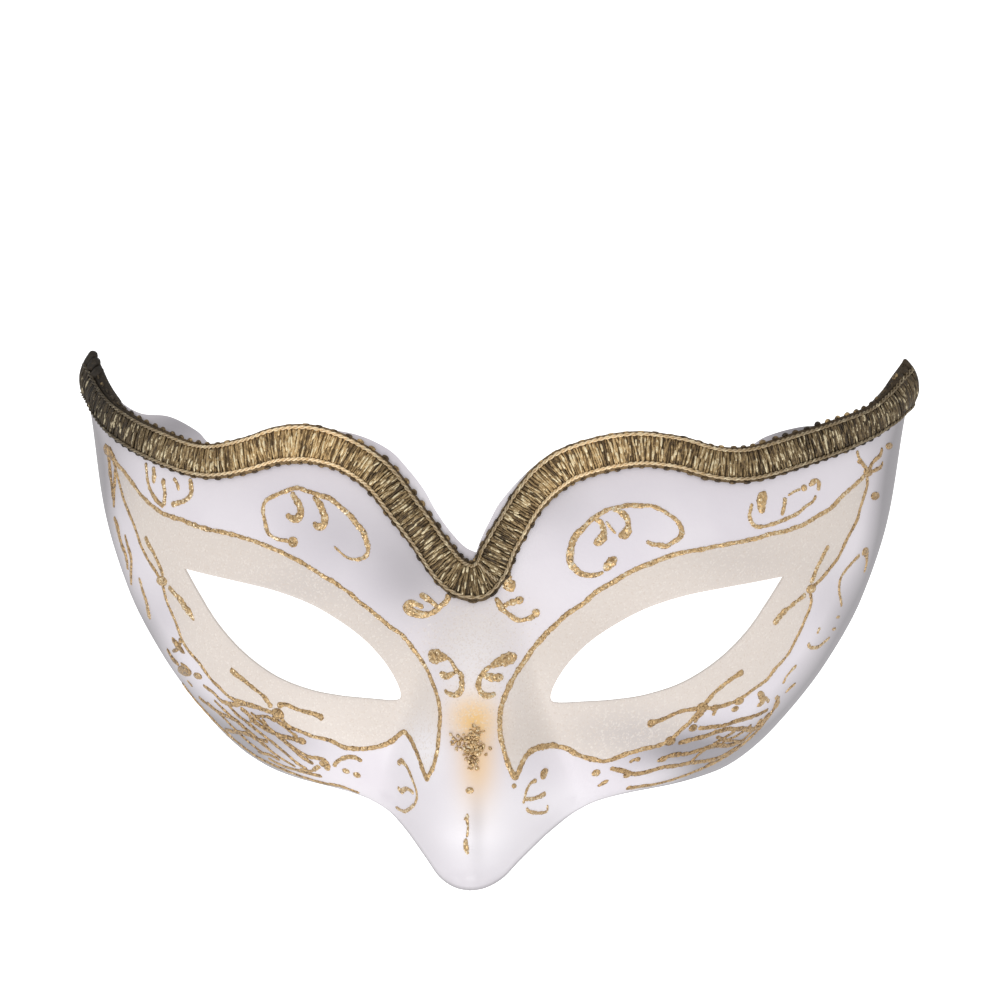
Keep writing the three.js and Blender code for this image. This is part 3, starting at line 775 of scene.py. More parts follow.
class BraidPath:
    """The course of the braid: its upper side, the step across it, and the length along it."""

    def __init__(self, samples=3000):
        run = run_of(BRAID_LINE)
        shares = np.linspace(BRAID_START, 1 - BRAID_START, samples)
        before, place, after = (
            at_lengths(BRAID_LINE, run, (shares + shift) * run[-1])
            for shift in (-BRAID_START, 0, BRAID_START)
        )
        line = after - before
        round_head, up = face_slopes(place)
        forward = round_head * line[:, :1] + up * line[:, 1:]
        near_end = np.maximum(0, 1 - np.minimum(shares, 1 - shares) / BRAID_FLARE_OVER)
        near_fold = np.maximum(0, 1 - np.abs(place[:, 0]) / BRAID_SPREAD_WITHIN)
        width = BRAID_WIDTH * (1 + BRAID_FLARE_BY * near_end**2 + BRAID_SPREAD_BY * near_fold)
        across = unit(np.cross(forward, np.cross(round_head, up))) * width[:, None]
        a = row_products(round_head, round_head)
        b = row_products(round_head, up)
        c = row_products(up, up)
        p = row_products(across, round_head)
        q = row_products(across, up)
        step = np.stack([p * c - q * b, q * a - p * b], axis=1) / (a * c - b * b)[:, None]
        room = WALL_U - BRAID_END_MARGIN - np.abs(place[:, 0])
        outward = np.maximum(1e-6, step[:, 0] * np.sign(place[:, 0]))
        step *= np.minimum(1, room / outward)[:, None]
        self.place = place
        self.step = step
        self.run = run_of(plain_face(place + step / 2))
        self.length = self.run[-1]

    def at(self, lengths, shares, heights, follow=True):
        """Points on the braid: length along it, share of its width, height above the shell.
        Shares follow the course of the cords, unless they are to stay at the shell's edge."""
        place = at_lengths(self.place, self.run, lengths)
        step = at_lengths(self.step, self.run, lengths)
        if follow:
            upper = np.interp(lengths, *np.transpose(UPPER_CORD))
            lower = np.interp(lengths, *np.transpose(LOWER_CORD))
            shares = (shares - UPPER_CORD_SHARE) / (LOWER_CORD_SHARE - UPPER_CORD_SHARE)
            shares = upper + (lower - upper) * shares
        spots = place + step * shares[:, None]
        normals = face_normals(spots)
        bulge = np.sin(math.pi * np.clip(shares, 0, 1)) ** SWELL_ROUNDNESS
        swell = np.interp(lengths, (0, self.length), TIP_SWELL) * self.near_tip(lengths)
        rise = np.broadcast_to(heights, len(spots)) + swell * bulge
        return plain_face(spots) + normals * rise[:, None], normals

    def near_tip(self, lengths):
        """1 at the wing tips, fading out along the braid."""
        from_tip = np.minimum(lengths, self.length - lengths)
        return np.exp(-((from_tip / TIP_REACH) ** 2))


BRAID = BraidPath()


class PhotoCamera:
    """The camera that the photograph was taken with."""

    def __init__(self):
        yaw = math.radians(CAMERA_YAW)
        pitch = math.radians(CAMERA_PITCH)
        roll = math.radians(CAMERA_ROLL)
        self.back = Vector((
            math.sin(yaw) * math.cos(pitch), math.sin(pitch), math.cos(yaw) * math.cos(pitch),
        ))
        level = Vector((math.cos(yaw), 0, -math.sin(yaw)))
        upright = self.back.cross(level)
        self.right = math.cos(roll) * level + math.sin(roll) * upright
        self.up = math.cos(roll) * upright - math.sin(roll) * level
        self.place = (Vector(CAMERA_TARGET) + self.back * CAMERA_DISTANCE) * MM
        self.focal_pixels = CAMERA_DISTANCE / CAMERA_MM_PER_PIXEL

    def ray(self, x, y):
        """The direction in which a pixel of the photograph is seen."""
        across = (x - PHOTO_SIZE / 2) / self.focal_pixels
        down = (y - PHOTO_SIZE / 2) / self.focal_pixels
        return (self.right * across - self.up * down - self.back).normalized()

    def pixels(self, points):
        """Where points of the frame, in metres, are seen in the photograph."""
        away = np.asarray(points) - np.array(self.place)
        depth = -away @ np.array(self.back)
        across = away @ np.array(self.right) / depth
        up = away @ np.array(self.up) / depth
        return PHOTO_SIZE / 2 + self.focal_pixels * np.stack([across, -up], axis=1)


PHOTO_CAMERA = PhotoCamera()


def between(ends, share):
    """The numbers that lie between two ends at the given shares."""
    return ends[0] + (ends[1] - ends[0]) * share


def crown(share):
    """0 at both sides of a width and 1 in its middle."""
    return np.sin(math.pi * share)


def grid(bm, columns, rows, shape):
    """A grid of faces moved into shape: shape gets the shares along and up of every corner."""
    verts = bmesh.ops.create_grid(bm, x_segments=columns, y_segments=rows, size=0.5)["verts"]
    shares = np.array([vert.co.xy for vert in verts]) + 0.5
    for vert, point in zip(verts, shape(shares)):
        vert.co = Vector(point) * MM
    return verts, shares


class Threads:
    """Threads and beads that are drawn one by one and then made together."""

    def __init__(self, sides):
        self.sides = sides
        self.drawn = []

    def add(self, centre, side, up, half_width, half_height, tone):
        """A thread along a line of points, which is closed because its ends have no width."""
        tones = np.full(len(centre), tone)
        self.drawn.append((centre, side, up, half_width, half_height, tones))

    def make(self, bm, layer):
        """One long tube, cut apart between the end of each thread and the start of the next."""
        centre, side, up, width, height, tone = (np.concatenate(part) for part in zip(*self.drawn))
        last = len(centre) - 1

        def shape(shares):
            i = np.rint(shares[:, 0] * last).astype(int)
            turn = shares[:, 1] * 2 * math.pi
            across = (width[i] * np.cos(turn))[:, None] * side[i]
            rise = (height[i] * np.sin(turn))[:, None] * up[i]
            return centre[i] + across + rise

        verts, shares = grid(bm, last, self.sides, shape)
        station = np.rint(shares[:, 0] * last).astype(int)
        for vert, i in zip(verts, station):
            vert[layer] = tone[i]
        ends = set(np.cumsum([len(part[0]) for part in self.drawn]) - 1)
        station_of = dict(zip(verts, station))
        joins = [
            face
            for face in dict.fromkeys(face for vert in verts for face in vert.link_faces)
            if min(station_of[vert] for vert in face.verts) in ends
        ]
        bmesh.ops.delete(bm, geom=joins, context="FACES")
        return [vert for vert in verts if vert.is_valid]


class BraidThreads(Threads):
    """Round threads that lie on the braid."""

    def lay(self, lengths, shares, heights, radius, tone, follow=True):
        """Adds a thread, as lengths along the braid, shares of its width and heights."""
        points, normals = BRAID.at(np.clip(lengths, 0, BRAID.length), shares, heights, follow)
        side = unit(np.cross(normals, np.gradient(points, axis=0)))
        half = np.full(len(points), 1.0) * radius
        half[[0, -1]] = 0
        self.add(points, side, normals, half, half, tone)

    def finish(self, name, material):
        """Makes all the threads one piece of the braid."""
        bm = bmesh.new()
        self.make(bm, bm.verts.layers.float.new("tone"))
        finish_mesh(bm, name, [material])


def finish_mesh(bm, name, materials):
    """A closed mesh with outward faces as a piece of the mask."""
    bmesh.ops.remove_doubles(bm, verts=bm.verts[:], dist=SAME_SPOT)
    bmesh.ops.recalc_face_normals(bm, faces=bm.faces[:])
    for face in bm.faces:
        face.smooth = True
    mesh = bpy.data.meshes.new(name)
    bm.to_mesh(mesh)
    bm.free()
    for material in materials:
        mesh.materials.append(material)
    piece = bpy.data.objects.new(name, mesh)
    bpy.context.scene.collection.objects.link(piece)
    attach(piece, BODY)
    return piece


class Value:
    """An output of a material's node, on which arithmetic adds Math nodes."""

    def __init__(self, finish, socket):
        self.finish = finish
        self.socket = socket

    def math(self, operation, *values):
        settings = {"operation": operation}
        return self.finish.node("ShaderNodeMath", settings, dict(enumerate(values)))[0]

    def above(self, low, high):
        """0 below low and 1 above high, smoothly."""
        settings = {"interpolation_type": "SMOOTHSTEP"}
        values = {"Value": self, "From Min": low, "From Max": high}
        return self.finish.node("ShaderNodeMapRange", settings, values)[0]


def add_arithmetic(name, operation):
    """Lets a Value stand before or behind a sign, which adds a Math node."""
    setattr(Value, f"__{name}__", lambda self, other: self.math(operation, self, other))
    setattr(Value, f"__r{name}__", lambda self, other: self.math(operation, other, self))


add_arithmetic("add", "ADD")
add_arithmetic("sub", "SUBTRACT")
add_arithmetic("mul", "MULTIPLY")
add_arithmetic("truediv", "DIVIDE")
add_arithmetic("pow", "POWER")


class Finish:
    """A material that is built node by node."""

    def __init__(self, name):
        self.material = bpy.data.materials.new(name)
        self.material.use_nodes = True
        self.tree = self.material.node_tree
        self.tree.nodes.clear()

    def node(self, kind, settings=None, values=None):
        """Adds a node with its settings, then fills its sockets; gives its outputs."""
        node = self.tree.nodes.new(kind)
        for name, setting in (settings or {}).items():
            if name == "stops":
                self.fill_ramp(node.color_ramp, setting)
            else:
                setattr(node, name, setting)
        for key, value in (values or {}).items():
            if isinstance(value, Value):
                self.tree.links.new(value.socket, node.inputs[key])
            else:
                node.inputs[key].default_value = value
        return [Value(self, output) for output in node.outputs]

    def fill_ramp(self, ramp, stops):
        for _ in range(len(stops) - len(ramp.elements)):
            ramp.elements.new(0.5)
        for element, (at, colour) in zip(ramp.elements, stops):
            element.position = at
            element.color = (*colour, 1)

    def place(self):
        """The place on the object, in metres."""
        return self.node("ShaderNodeTexCoord")[3]

    def noise(self, scale, detail=2.0, vector=None):
        values = {"Vector": vector or self.place(), "Scale": scale, "Detail": detail}
        return self.node("ShaderNodeTexNoise", None, values)[0]

    def facing(self):
        """The way the surface faces."""
        return self.node("ShaderNodeNewGeometry")[1]

    def flakes(self, scale):
        """A random colour for each flake."""
        values = {"Vector": self.place(), "Scale": scale}
        return self.node("ShaderNodeTexVoronoi", None, values)[1]

    def channel(self, colour, index):
        return self.node("ShaderNodeSeparateColor", None, {"Color": colour})[index]

    def grey(self, value):
        """A grey of the given lightness."""
        return self.node("ShaderNodeCombineColor", None, {0: value, 1: value, 2: value})[0]

    def attribute(self, name):
        return self.node("ShaderNodeAttribute", {"attribute_name": name})[2]

    def mix(self, factor, first, second, blend="MIX"):
        """A colour between two colours."""
        colours = {
            key: colour if isinstance(colour, Value) else (*colour, 1)
            for key, colour in ((6, first), (7, second))
        }
        settings = {"data_type": "RGBA", "blend_type": blend}
        return self.node("ShaderNodeMix", settings, {0: factor, **colours})[2]

    def mix_normals(self, factor, first, second):
        """A direction between two directions."""
        values = {0: factor, 4: first, 5: second}
        return self.node("ShaderNodeMix", {"data_type": "VECTOR"}, values)[1]

    def ramp(self, factor, stops):
        return self.node("ShaderNodeValToRGB", {"stops": stops}, {"Fac": factor})[0]

    def bump(self, height, distance, strength=1.0, normal=None):
        values = {"Height": height, "Distance": distance, "Strength": strength}
        if normal:
            values["Normal"] = normal
        return self.node("ShaderNodeBump", None, values)[0]

    def tilted(self, colour, amount):
        """The surface's normal tilted by a random colour, as flakes of glitter lie."""
        facing = self.facing()
        centred = self.vector_math("SUBTRACT", colour, (0.5, 0.5, 0.5))
        scaled = self.vector_math("SCALE", centred, scale=amount)
        return self.vector_math("NORMALIZE", self.vector_math("ADD", facing, scaled))

    def vector_math(self, operation, first, second=None, scale=None):
        values = {0: first}
        if second is not None:
            values[1] = second
        if scale is not None:
            values["Scale"] = scale
        return self.node("ShaderNodeVectorMath", {"operation": operation}, values)[0]

    def surface(self, **values):
        """The finished surface: its sockets are given by name, with _ for a space."""
        sockets = {name.replace("_", " "): value for name, value in values.items()}
        shader = self.node("ShaderNodeBsdfPrincipled", None, sockets)[0]
        self.node("ShaderNodeOutputMaterial", None, {"Surface": shader})
        return self.material


def pearl_finish(settings):
    """Pearl white paint with a cream, glittered zone round the eyes and gold sprayed on the nose,
    with painted highlights and painted shade mixed in.
    """
    finish = Finish("pearl_paint")
    cream = finish.attribute("cream")
    dust = finish.attribute("dust")
    cloud = finish.noise(PAINT_CLOUDS, 3)
    paint = finish.mix(cloud.above(0.35, 0.65), settings.pearl, settings.pearl_light)
    paint = finish.mix(cream + dust * 0.75, paint, settings.cream)
    # Painted highlight, painted shade and the lower edge's painted shade are mixed into the paint, and
    # last the sprayed gold.
    for zone, colour in (
        ("sheen", settings.sheen), ("shade", settings.grey), ("edge", settings.edge),
        ("glow", settings.glow),
    ):
        paint = finish.mix(finish.attribute(zone), paint, colour)
    flakes = finish.flakes(PAINT_FLAKES)
    chance = finish.channel(flakes, 0)
    tone = finish.channel(flakes, 1)
    covered = cream * 0.8 + dust
    shown = (chance + covered * 0.42).above(0.97, 1.0) * covered.above(0.02, 0.3)
    tilt = finish.mix_normals(shown, finish.facing(), finish.tilted(flakes, 0.16))
    return finish.surface(
        Base_Color=finish.mix(shown * 0.35, paint, finish.ramp(tone, PAINT_FLAKE_STOPS)),
        Roughness=settings.roughness - shown * 0.05,
        Normal=finish.bump(finish.noise(PAINT_GRAINS, 2), 0.00004, 0.6, tilt),
        Coat_Weight=0.2,
        Coat_Roughness=0.26,
    )


def bare_finish(settings):
    """The plain white plastic of the inside, with an even glow painted on: painted light for light
    that comes through the thin plastic.
    """
    finish = Finish("bare_plastic")
    cloud = finish.noise(PLASTIC_CLOUDS, 3)
    colour = finish.mix(cloud.above(0.3, 0.7), settings.inside, [0.96 * c for c in settings.inside])
    grain = finish.noise(PLASTIC_GRAINS, 2)
    return finish.surface(
        Base_Color=colour,
        Roughness=0.55 + grain * 0.1,
        Normal=finish.bump(grain, 0.00003),
        Emission_Color=WHITE,
        Emission_Strength=settings.inside_glow,
    )


def rim_finish(settings):
    """Grey on the rounded rims, which is painted shade of the cut edges, paler in clouds."""
    finish = Finish("worn_rim")
    # The paler clouds lie at random over the painted shade.
    worn = [1.25 * c for c in settings.rim]
    colour = finish.mix(finish.noise(RIM_CLOUDS, 2), settings.rim, worn)
    return finish.surface(Base_Color=colour, Roughness=0.5)


def glitter_finish(settings):
    """Gold glitter set in clear glue."""
    finish = Finish("gold_glitter")
    flakes = finish.flakes(GLITTER_FLAKES)
    tone = finish.channel(flakes, 0)
    patch = finish.noise(GLITTER_PATCHES, 2)
    # A line's tone is its painted shade, which darkens its glitter.
    level = tone * 0.75 + patch * 0.5 - 0.12 - finish.attribute("tone") * 0.42
    # The ramp paints each flake, at random, from dark gold to bright gold and spark: painted shade and
    # painted glints, besides the flakes' tilted normals.
    stops = [
        (0.0, settings.dark), (0.32, settings.gold), (0.62, settings.gold), (0.8, settings.bright),
        (1.0, GLITTER_SPARK),
    ]
    return finish.surface(
        Base_Color=finish.ramp(level, stops),
        Metallic=0.55,
        Roughness=0.24 + tone * 0.25,
        Normal=finish.tilted(flakes, 1.1),
        Coat_Weight=0.3,
        Coat_Roughness=0.15,
    )


def thread_finish(name, stops, metallic, roughness, level=0.0, grain=THREAD_GRAINS):
    """Metallic thread with painted glints, dark and bright by turns, and with painted light and shade
    along the braid, darker towards the wing tips.
    """
    finish = Finish(name)
    tone = finish.attribute("tone")
    place = finish.vector_math("ADD", finish.place(), tone * TONE_SHIFT)
    turn = finish.noise(grain, 1, place)
    fine = finish.noise(grain * FINER, 2, place)
    lit = (turn - 0.5) * TURN_CONTRAST + (fine - 0.5) * FINE_CONTRAST + tone + level
    colour = finish.ramp(lit, stops)
    # Painted light and shade along the braid from left to right; the brightest glints keep more of their
    # light.
    across = finish.node("ShaderNodeSeparateXYZ", None, {"Vector": finish.place()})[0]
    greys = [(at, (light, light, light)) for at, light in BRAID_PAINTED_LIGHT]
    light = finish.channel(finish.ramp(across / BRAID_PAINTED_LIGHT_SPAN + 0.5, greys), 0)
    light = light ** (1 - lit.above(0.7, 1.0) * GLINT_KEPT)
    colour = finish.mix(1.0, colour, finish.grey(light), "MULTIPLY")
    normal = finish.bump(fine, 0.00012, 0.8)
    return finish.surface(
        Base_Color=colour, Metallic=metallic, Roughness=fine * 0.2 + roughness, Normal=normal
    )


def ground_finish(settings):
    """The dark threads of the braid's ground."""
    stops = [(0, settings.ground), (1, settings.bronze)]
    return thread_finish("braid_ground", stops, 0.2, 0.5, 0.5, GROUND_GRAINS)


def strand_finish(settings):
    """Gold lurex strands, bright where they turn to the light."""
    stops = [
        (0.05, settings.ground), (0.35, settings.bronze), (0.65, settings.gold),
        (1.0, settings.glint),
    ]
    return thread_finish("braid_strands", stops, 0.3, 0.35)


def cord_finish(settings):
    """Pale gold cord."""
    stops = [
        (0.0, settings.bronze), (0.3, settings.gold), (0.6, settings.cord), (1.0, settings.glint),
    ]
    return thread_finish("braid_cords", stops, 0.25, 0.34)


def picot_finish(settings):
    """Dark brown loops with a few gold glints."""
    stops = [(0.2, settings.picot), (0.6, settings.bronze), (0.9, settings.gold)]
    return thread_finish("braid_picots", stops, 0.2, 0.4)


def colour_property(name, description, default):
    return FloatVectorProperty(
        name=name, description=description, subtype="COLOR", size=3, min=0, max=1, default=default
    )


def number_property(name, description, default):
    return FloatProperty(name=name, description=description, default=default)


def count_property(name, description, default):
    return IntProperty(name=name, description=description, default=default)


def length_property(name, description, default):
    return FloatProperty(name=name, description=description, unit="LENGTH", default=default, min=0)


class ShellSettings(bpy.types.PropertyGroup):
    """Sizes and colours of the moulded shell."""

    thickness: length_property("Thickness", "Thickness of the shell's wall", 1.2 * MM)
    rim_radius: length_property("Rim radius", "Rounding of the cut edges", 0.22 * MM)
    columns: count_property("Columns", "Faces along each side's outline", 330)
    middle_columns: count_property("Middle columns", "Faces down the middle", 64)
    rings: count_property("Rings", "Faces from eye opening to outline", 40)
    roughness: number_property("Roughness", "Dullness of the pearl paint", 0.4)
    # The inside's glow is painted light, for light that comes through the plastic.
    inside_glow: number_property("Translucence", "Light that comes through the bare plastic", 0.22)
    pearl: colour_property("Pearl", "Paint outside the frames", (0.76, 0.715, 0.765))
    pearl_light: colour_property("Light pearl", "Paler clouds in the paint", (0.81, 0.765, 0.81))
    cream: colour_property("Cream", "Paint inside the frames", (0.73, 0.655, 0.60))
    # Grey for painted shade.
    grey: colour_property("Grey", "Shaded paint", (0.32, 0.30, 0.32))
    # The painted highlight: near-white paint where the face would catch the most light.
    sheen: colour_property("Sheen", "Brightest paint, on the nose", (0.95, 0.92, 0.96))
    glow: colour_property("Glow", "Gold sprayed on the bridge of the nose", (0.88, 0.52, 0.13))
    # The lower edge's painted shade.
    edge: colour_property("Edge", "Shaded paint along the lower edge", (0.30, 0.285, 0.30))
    # The rims' grey is painted shade of the cut edges.
    rim: colour_property("Rim", "Worn paint on the rounded rims", (0.40, 0.40, 0.38))
    inside: colour_property("Inside", "Bare plastic of the inside", (0.80, 0.80, 0.80))


class GlitterSettings(bpy.types.PropertyGroup):
    """Sizes and colours of the glitter scrolls."""

    height: length_property("Height", "How far a line of glitter stands above the shell", 0.24 * MM)
    step: length_property("Step", "Length of a line's faces", 0.3 * MM)
    waver: length_property("Waver", "How far the hand drawn lines wander", 0.1 * MM)
    grain: length_property("Grain", "Size of a grain of glitter", 0.36 * MM)
    gold: colour_property("Gold", "Most of the flakes", (0.60, 0.40, 0.19))
    bright: colour_property("Bright gold", "Flakes that face the light", (0.90, 0.72, 0.46))
    dark: colour_property("Dark gold", "Flakes that face away", (0.27, 0.155, 0.06))


class BraidSettings(bpy.types.PropertyGroup):
    """Sizes and colours of the gimp braid."""

    strand_gap: length_property("Strand spacing", "Distance between crossing strands", 0.4 * MM)
    strand_radius: length_property("Strand radius", "Half the width of a strand", 0.22 * MM)
    fleck_gap: length_property("Fleck spacing", "Length of braid for each bright fleck", 0.36 * MM)
    fleck_radius: length_property("Fleck radius", "Half the width of a bright fleck", 0.24 * MM)
    cord_radius: length_property("Cord ply radius", "Radius of one ply of the edge cords", 0.2 * MM)
    cord_pitch: length_property("Cord pitch", "Length of one turn of the edge cords", 2.5 * MM)
    picot_gap: length_property("Picot spacing", "Distance between the loops on the edges", 2.8 * MM)
    picot_radius: length_property("Picot radius", "Radius of the loops' thread", 0.34 * MM)
    ground_thickness: length_property("Ground thickness", "Thickness of the ground", 0.35 * MM)
    fold_length: length_property("Fold length", "How far the tips are folded over", 24 * MM)
    hem_radius: length_property("Hem radius", "Radius of the rolled ends", 1.0 * MM)
    nub_radius: length_property("Nub radius", "Radius of the knot at each wing tip", 1.15 * MM)
    ground: colour_property("Ground", "Dark threads of the ground", (0.14, 0.09, 0.044))
    bronze: colour_property("Bronze", "Threads in half shade", (0.385, 0.252, 0.112))
    gold: colour_property("Gold", "Bright metallic threads", (0.77, 0.54, 0.26))
    glint: colour_property("Glint", "Threads that face the light", (1.0, 0.86, 0.57))
    cord: colour_property("Cord", "Threads of the edge cords", (1.0, 0.76, 0.47))
    picot: colour_property("Picots", "Dark loops along the edges", (0.075, 0.048, 0.027))


class StageSettings(bpy.types.PropertyGroup):
    """Floor and lights."""

    floor: colour_property("Floor", "Colour of the floor", (0.85, 0.85, 0.85))
    floor_size: length_property("Floor size", "Width of the floor", 12.0)
    floor_glow: number_property("Floor glow", "Light of the light table", 0.74)
    light_size: length_property("Light size", "Width of each soft light", 0.5)
    key: number_property("Key light", "Power of the main light in watts", 3.8)
    low: number_property("Low light", "Power of the light below in watts", 1.1)
    left: number_property("Left light", "Power of the left light in watts", 1.6)
    right: number_property("Right light", "Power of the right light in watts", 1.1)
    sky: number_property("Sky", "Strength of the light from all round", 0.71)


class MaskSettings(bpy.types.PropertyGroup):
    """All the settings of the mask."""

    shell: PointerProperty(name="Shell", description="The moulded shell", type=ShellSettings)
    glitter: PointerProperty(name="Glitter", description="The glitter scrolls", type=GlitterSettings)
    braid: PointerProperty(name="Braid", description="The gimp braid", type=BraidSettings)
    stage: PointerProperty(name="Stage", description="Floor and lights", type=StageSettings)


def inside_of(places, outline):
    """How far places lie inside a closed outline; negative outside it."""
    line = evenly(smooth_ring(outline), 500)
    far, _ = far_from(places, line)
    x, y = places.T
    inside = np.zeros(len(places), bool)
    for (ax, ay), (bx, by) in zip(line[:-1], line[1:]):
        crosses = (ay > y) != (by > y)
        rise = by - ay if by != ay else 1
        inside ^= crosses & (x < (bx - ax) * (y - ay) / rise + ax)
    return np.where(inside, far, -far)


def spot(pixels, centre, across, up):
    """1 at a centre in the photograph, fading out over the given radii."""
    x = (pixels[:, 0] - centre[0]) / across
    y = (pixels[:, 1] - centre[1]) / up
    return np.exp(-x * x - y * y)


def spot_sum(pixels, rows):
    """The sum of several spots, each with its strength, centre and radii."""
    return sum(strength * spot(pixels, centre, across, up) for strength, centre, across, up in rows)


def wall_shares(points):
    """The share of the wall's thickness that is left near the eye openings and the wing tips."""
    rims = [evenly(smooth_ring(sided(side, EYE_OUTLINE)), 300) for side in (-1, 1)]
    lines = (evenly(edges[part], 300) for edges in (LEFT, RIGHT) for part in ("top", "back"))
    tips = [line[np.abs(line[:, 0]) > TIP_FROM] for line in lines]
    gap, _ = far_from(places_under(points), np.vstack([*rims, *tips]))
    return between((THIN_RIM, 1), np.clip(gap / THIN_WITHIN, 0, 1))


def paint_zones(points):
    """The strengths of the shell's finishes at points on its face, which are in metres."""
    pixels = PHOTO_CAMERA.pixels(points)
    left = inside_of(pixels, FRAME_UPPER_LEFT + FRAME_LOWER_LEFT[1:])
    right = inside_of(pixels, FRAME_UPPER_RIGHT + FRAME_LOWER_RIGHT)
    cream = np.clip(np.maximum(left, right) / FRAME_SOFTNESS + 0.5, 0, 1)
    places = places_under(points)
    # Painted shade: over the nets, in spots, and where the face turns away from the front at the
    # temples.
    turned = np.clip(1 - face_normals(places)[:, 2] / TURNED_FROM, 0, 1)
    beside = np.clip((np.abs(places[:, 0]) - TURNED_AT) / TURNED_AT, 0, 1)
    shade = spot_sum(pixels, NET_SHADES) * (1 - cream) + spot_sum(pixels, SHADES)
    shade = shade + np.where(places[:, 0] < 0, TURNED_LEFT, TURNED_RIGHT) * turned * beside
    strengths = (
        cream,
        spot_sum(pixels, GLOWS),
        spot_sum(pixels, DUSTS) * (1 - cream),
        shade,
        # Painted highlights.
        spot_sum(pixels, PAINTED_HIGHLIGHTS),
        # Painted shade along the lower edge.
        1 - from_lower_edge(places) / EDGE_LINE,
    )
    return {zone: np.clip(strength, 0, 1) for zone, strength in zip(ZONES, strengths)}


class MASK_OT_shell(bpy.types.Operator):
    """Model the moulded shell with its eye openings"""

    bl_idname = "mask.shell"
    bl_label = "Shell"

    def execute(self, context):
        settings = context.scene.half_mask.shell
        bm = bmesh.new()
        layers = {zone: bm.verts.layers.float.new(zone) for zone in ZONES}
        for side, edges in ((-1, LEFT), (1, RIGHT)):
            self.add_side(bm, side, edges, settings)
        bmesh.ops.remove_doubles(bm, verts=bm.verts[:], dist=SEAM_GAP)
        bmesh.ops.recalc_face_normals(bm, faces=bm.faces[:])
        middle = max(bm.faces, key=lambda face: face.calc_center_median().z)
        if middle.normal.z < 0:
            bmesh.ops.reverse_faces(bm, faces=bm.faces[:])
        zones = paint_zones([vert.co for vert in bm.verts])
        for zone, layer in layers.items():
            for vert, strength in zip(bm.verts, zones[zone]):
                vert[layer] = strength
        self.add_wall(bm, settings)
        finishes = [pearl_finish(settings), bare_finish(settings), rim_finish(settings)]
        piece = finish_mesh(bm, "shell", finishes)
        rim = piece.modifiers.new("rim", "BEVEL")
        rim.width = settings.rim_radius
        rim.segments = 2
        rim.limit_method = "ANGLE"
        rim.angle_limit = math.radians(RIM_ANGLE)
        # The rounded rims take the rim finish, whose grey is painted shade.
        rim.material = 2
        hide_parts("mask_shell")
        return {"FINISHED"}

    def add_wall(self, bm, settings):
        """Gives the skin its thickness, with thinner rims, and the back its own finish."""
        number = bm.verts.layers.int.new("number")
        for i, vert in enumerate(bm.verts):
            vert[number] = i
        skin = [vert.co.copy() for vert in bm.verts]
        shares = wall_shares(skin)
        walled = bmesh.ops.solidify(bm, geom=bm.faces[:], thickness=settings.thickness)
        for element in walled["geom"]:
            if isinstance(element, bmesh.types.BMFace):
                element.material_index = 1
            elif isinstance(element, bmesh.types.BMVert):
                i = element[number]
                inward = (element.co - skin[i]) * shares[i]
                if inward.length > settings.thickness:
                    inward = inward.normalized() * settings.thickness
                element.co = skin[i] + inward
                element.co.z = max(0, element.co.z)
        bm.verts.layers.int.remove(number)

    def add_side(self, bm, side, edges, settings):
        """One half of the shell, as a grid from the eye opening to the outline."""
        lines = [edges[part] for part in OUTLINE]
        lengths = [run_of(line)[-1] for line in lines]
        counts = [settings.columns * length / sum(lengths) for length in lengths]
        rim = [evenly(line, round(count))[:-1] for line, count in zip(lines, counts)]
        down_middle = np.vstack([face_from_front(NOSE_TIP), face_from_front(NOTCH)])
        outer = np.vstack([*rim, evenly(down_middle, settings.middle_columns)[:-1]])
        inner = self.eye_points(side, outer)
        columns = len(outer)

        def shape(share):
            column = np.rint(share[:, 0] * columns).astype(int) % columns
            ring = share[:, 1:]
            return shell_face(inner[column] * (1 - ring) + outer[column] * ring)

        grid(bm, columns, settings.rings, shape)

    def eye_points(self, side, outer):
        """The point of the eye opening that faces each point of the outline."""
        eye = evenly(smooth_ring(sided(side, EYE_OUTLINE), 60), 2400)
        centre = sided(side, [EYE_CENTRE])
        angles, eye_angles = (
            np.arctan2(*(places - centre).T[::-1]) for places in (outer, eye[:-1])
        )
        faced = np.stack(
            [np.interp(angles, eye_angles, column, period=2 * math.pi) for column in eye[:-1].T],
            axis=1,
        )
        run = run_of(eye)
        order = far_from(faced, eye[:-1])[1]
        lengths = np.unwrap(run[order], period=run[-1])
        whole = np.sign(lengths[-1] - lengths[0]) * run[-1]
        even = np.linspace(lengths[0], lengths[0] + whole, len(outer) + 1)[:-1]
        return at_lengths(eye, run, (EYE_FACING * lengths + (1 - EYE_FACING) * even) % run[-1])


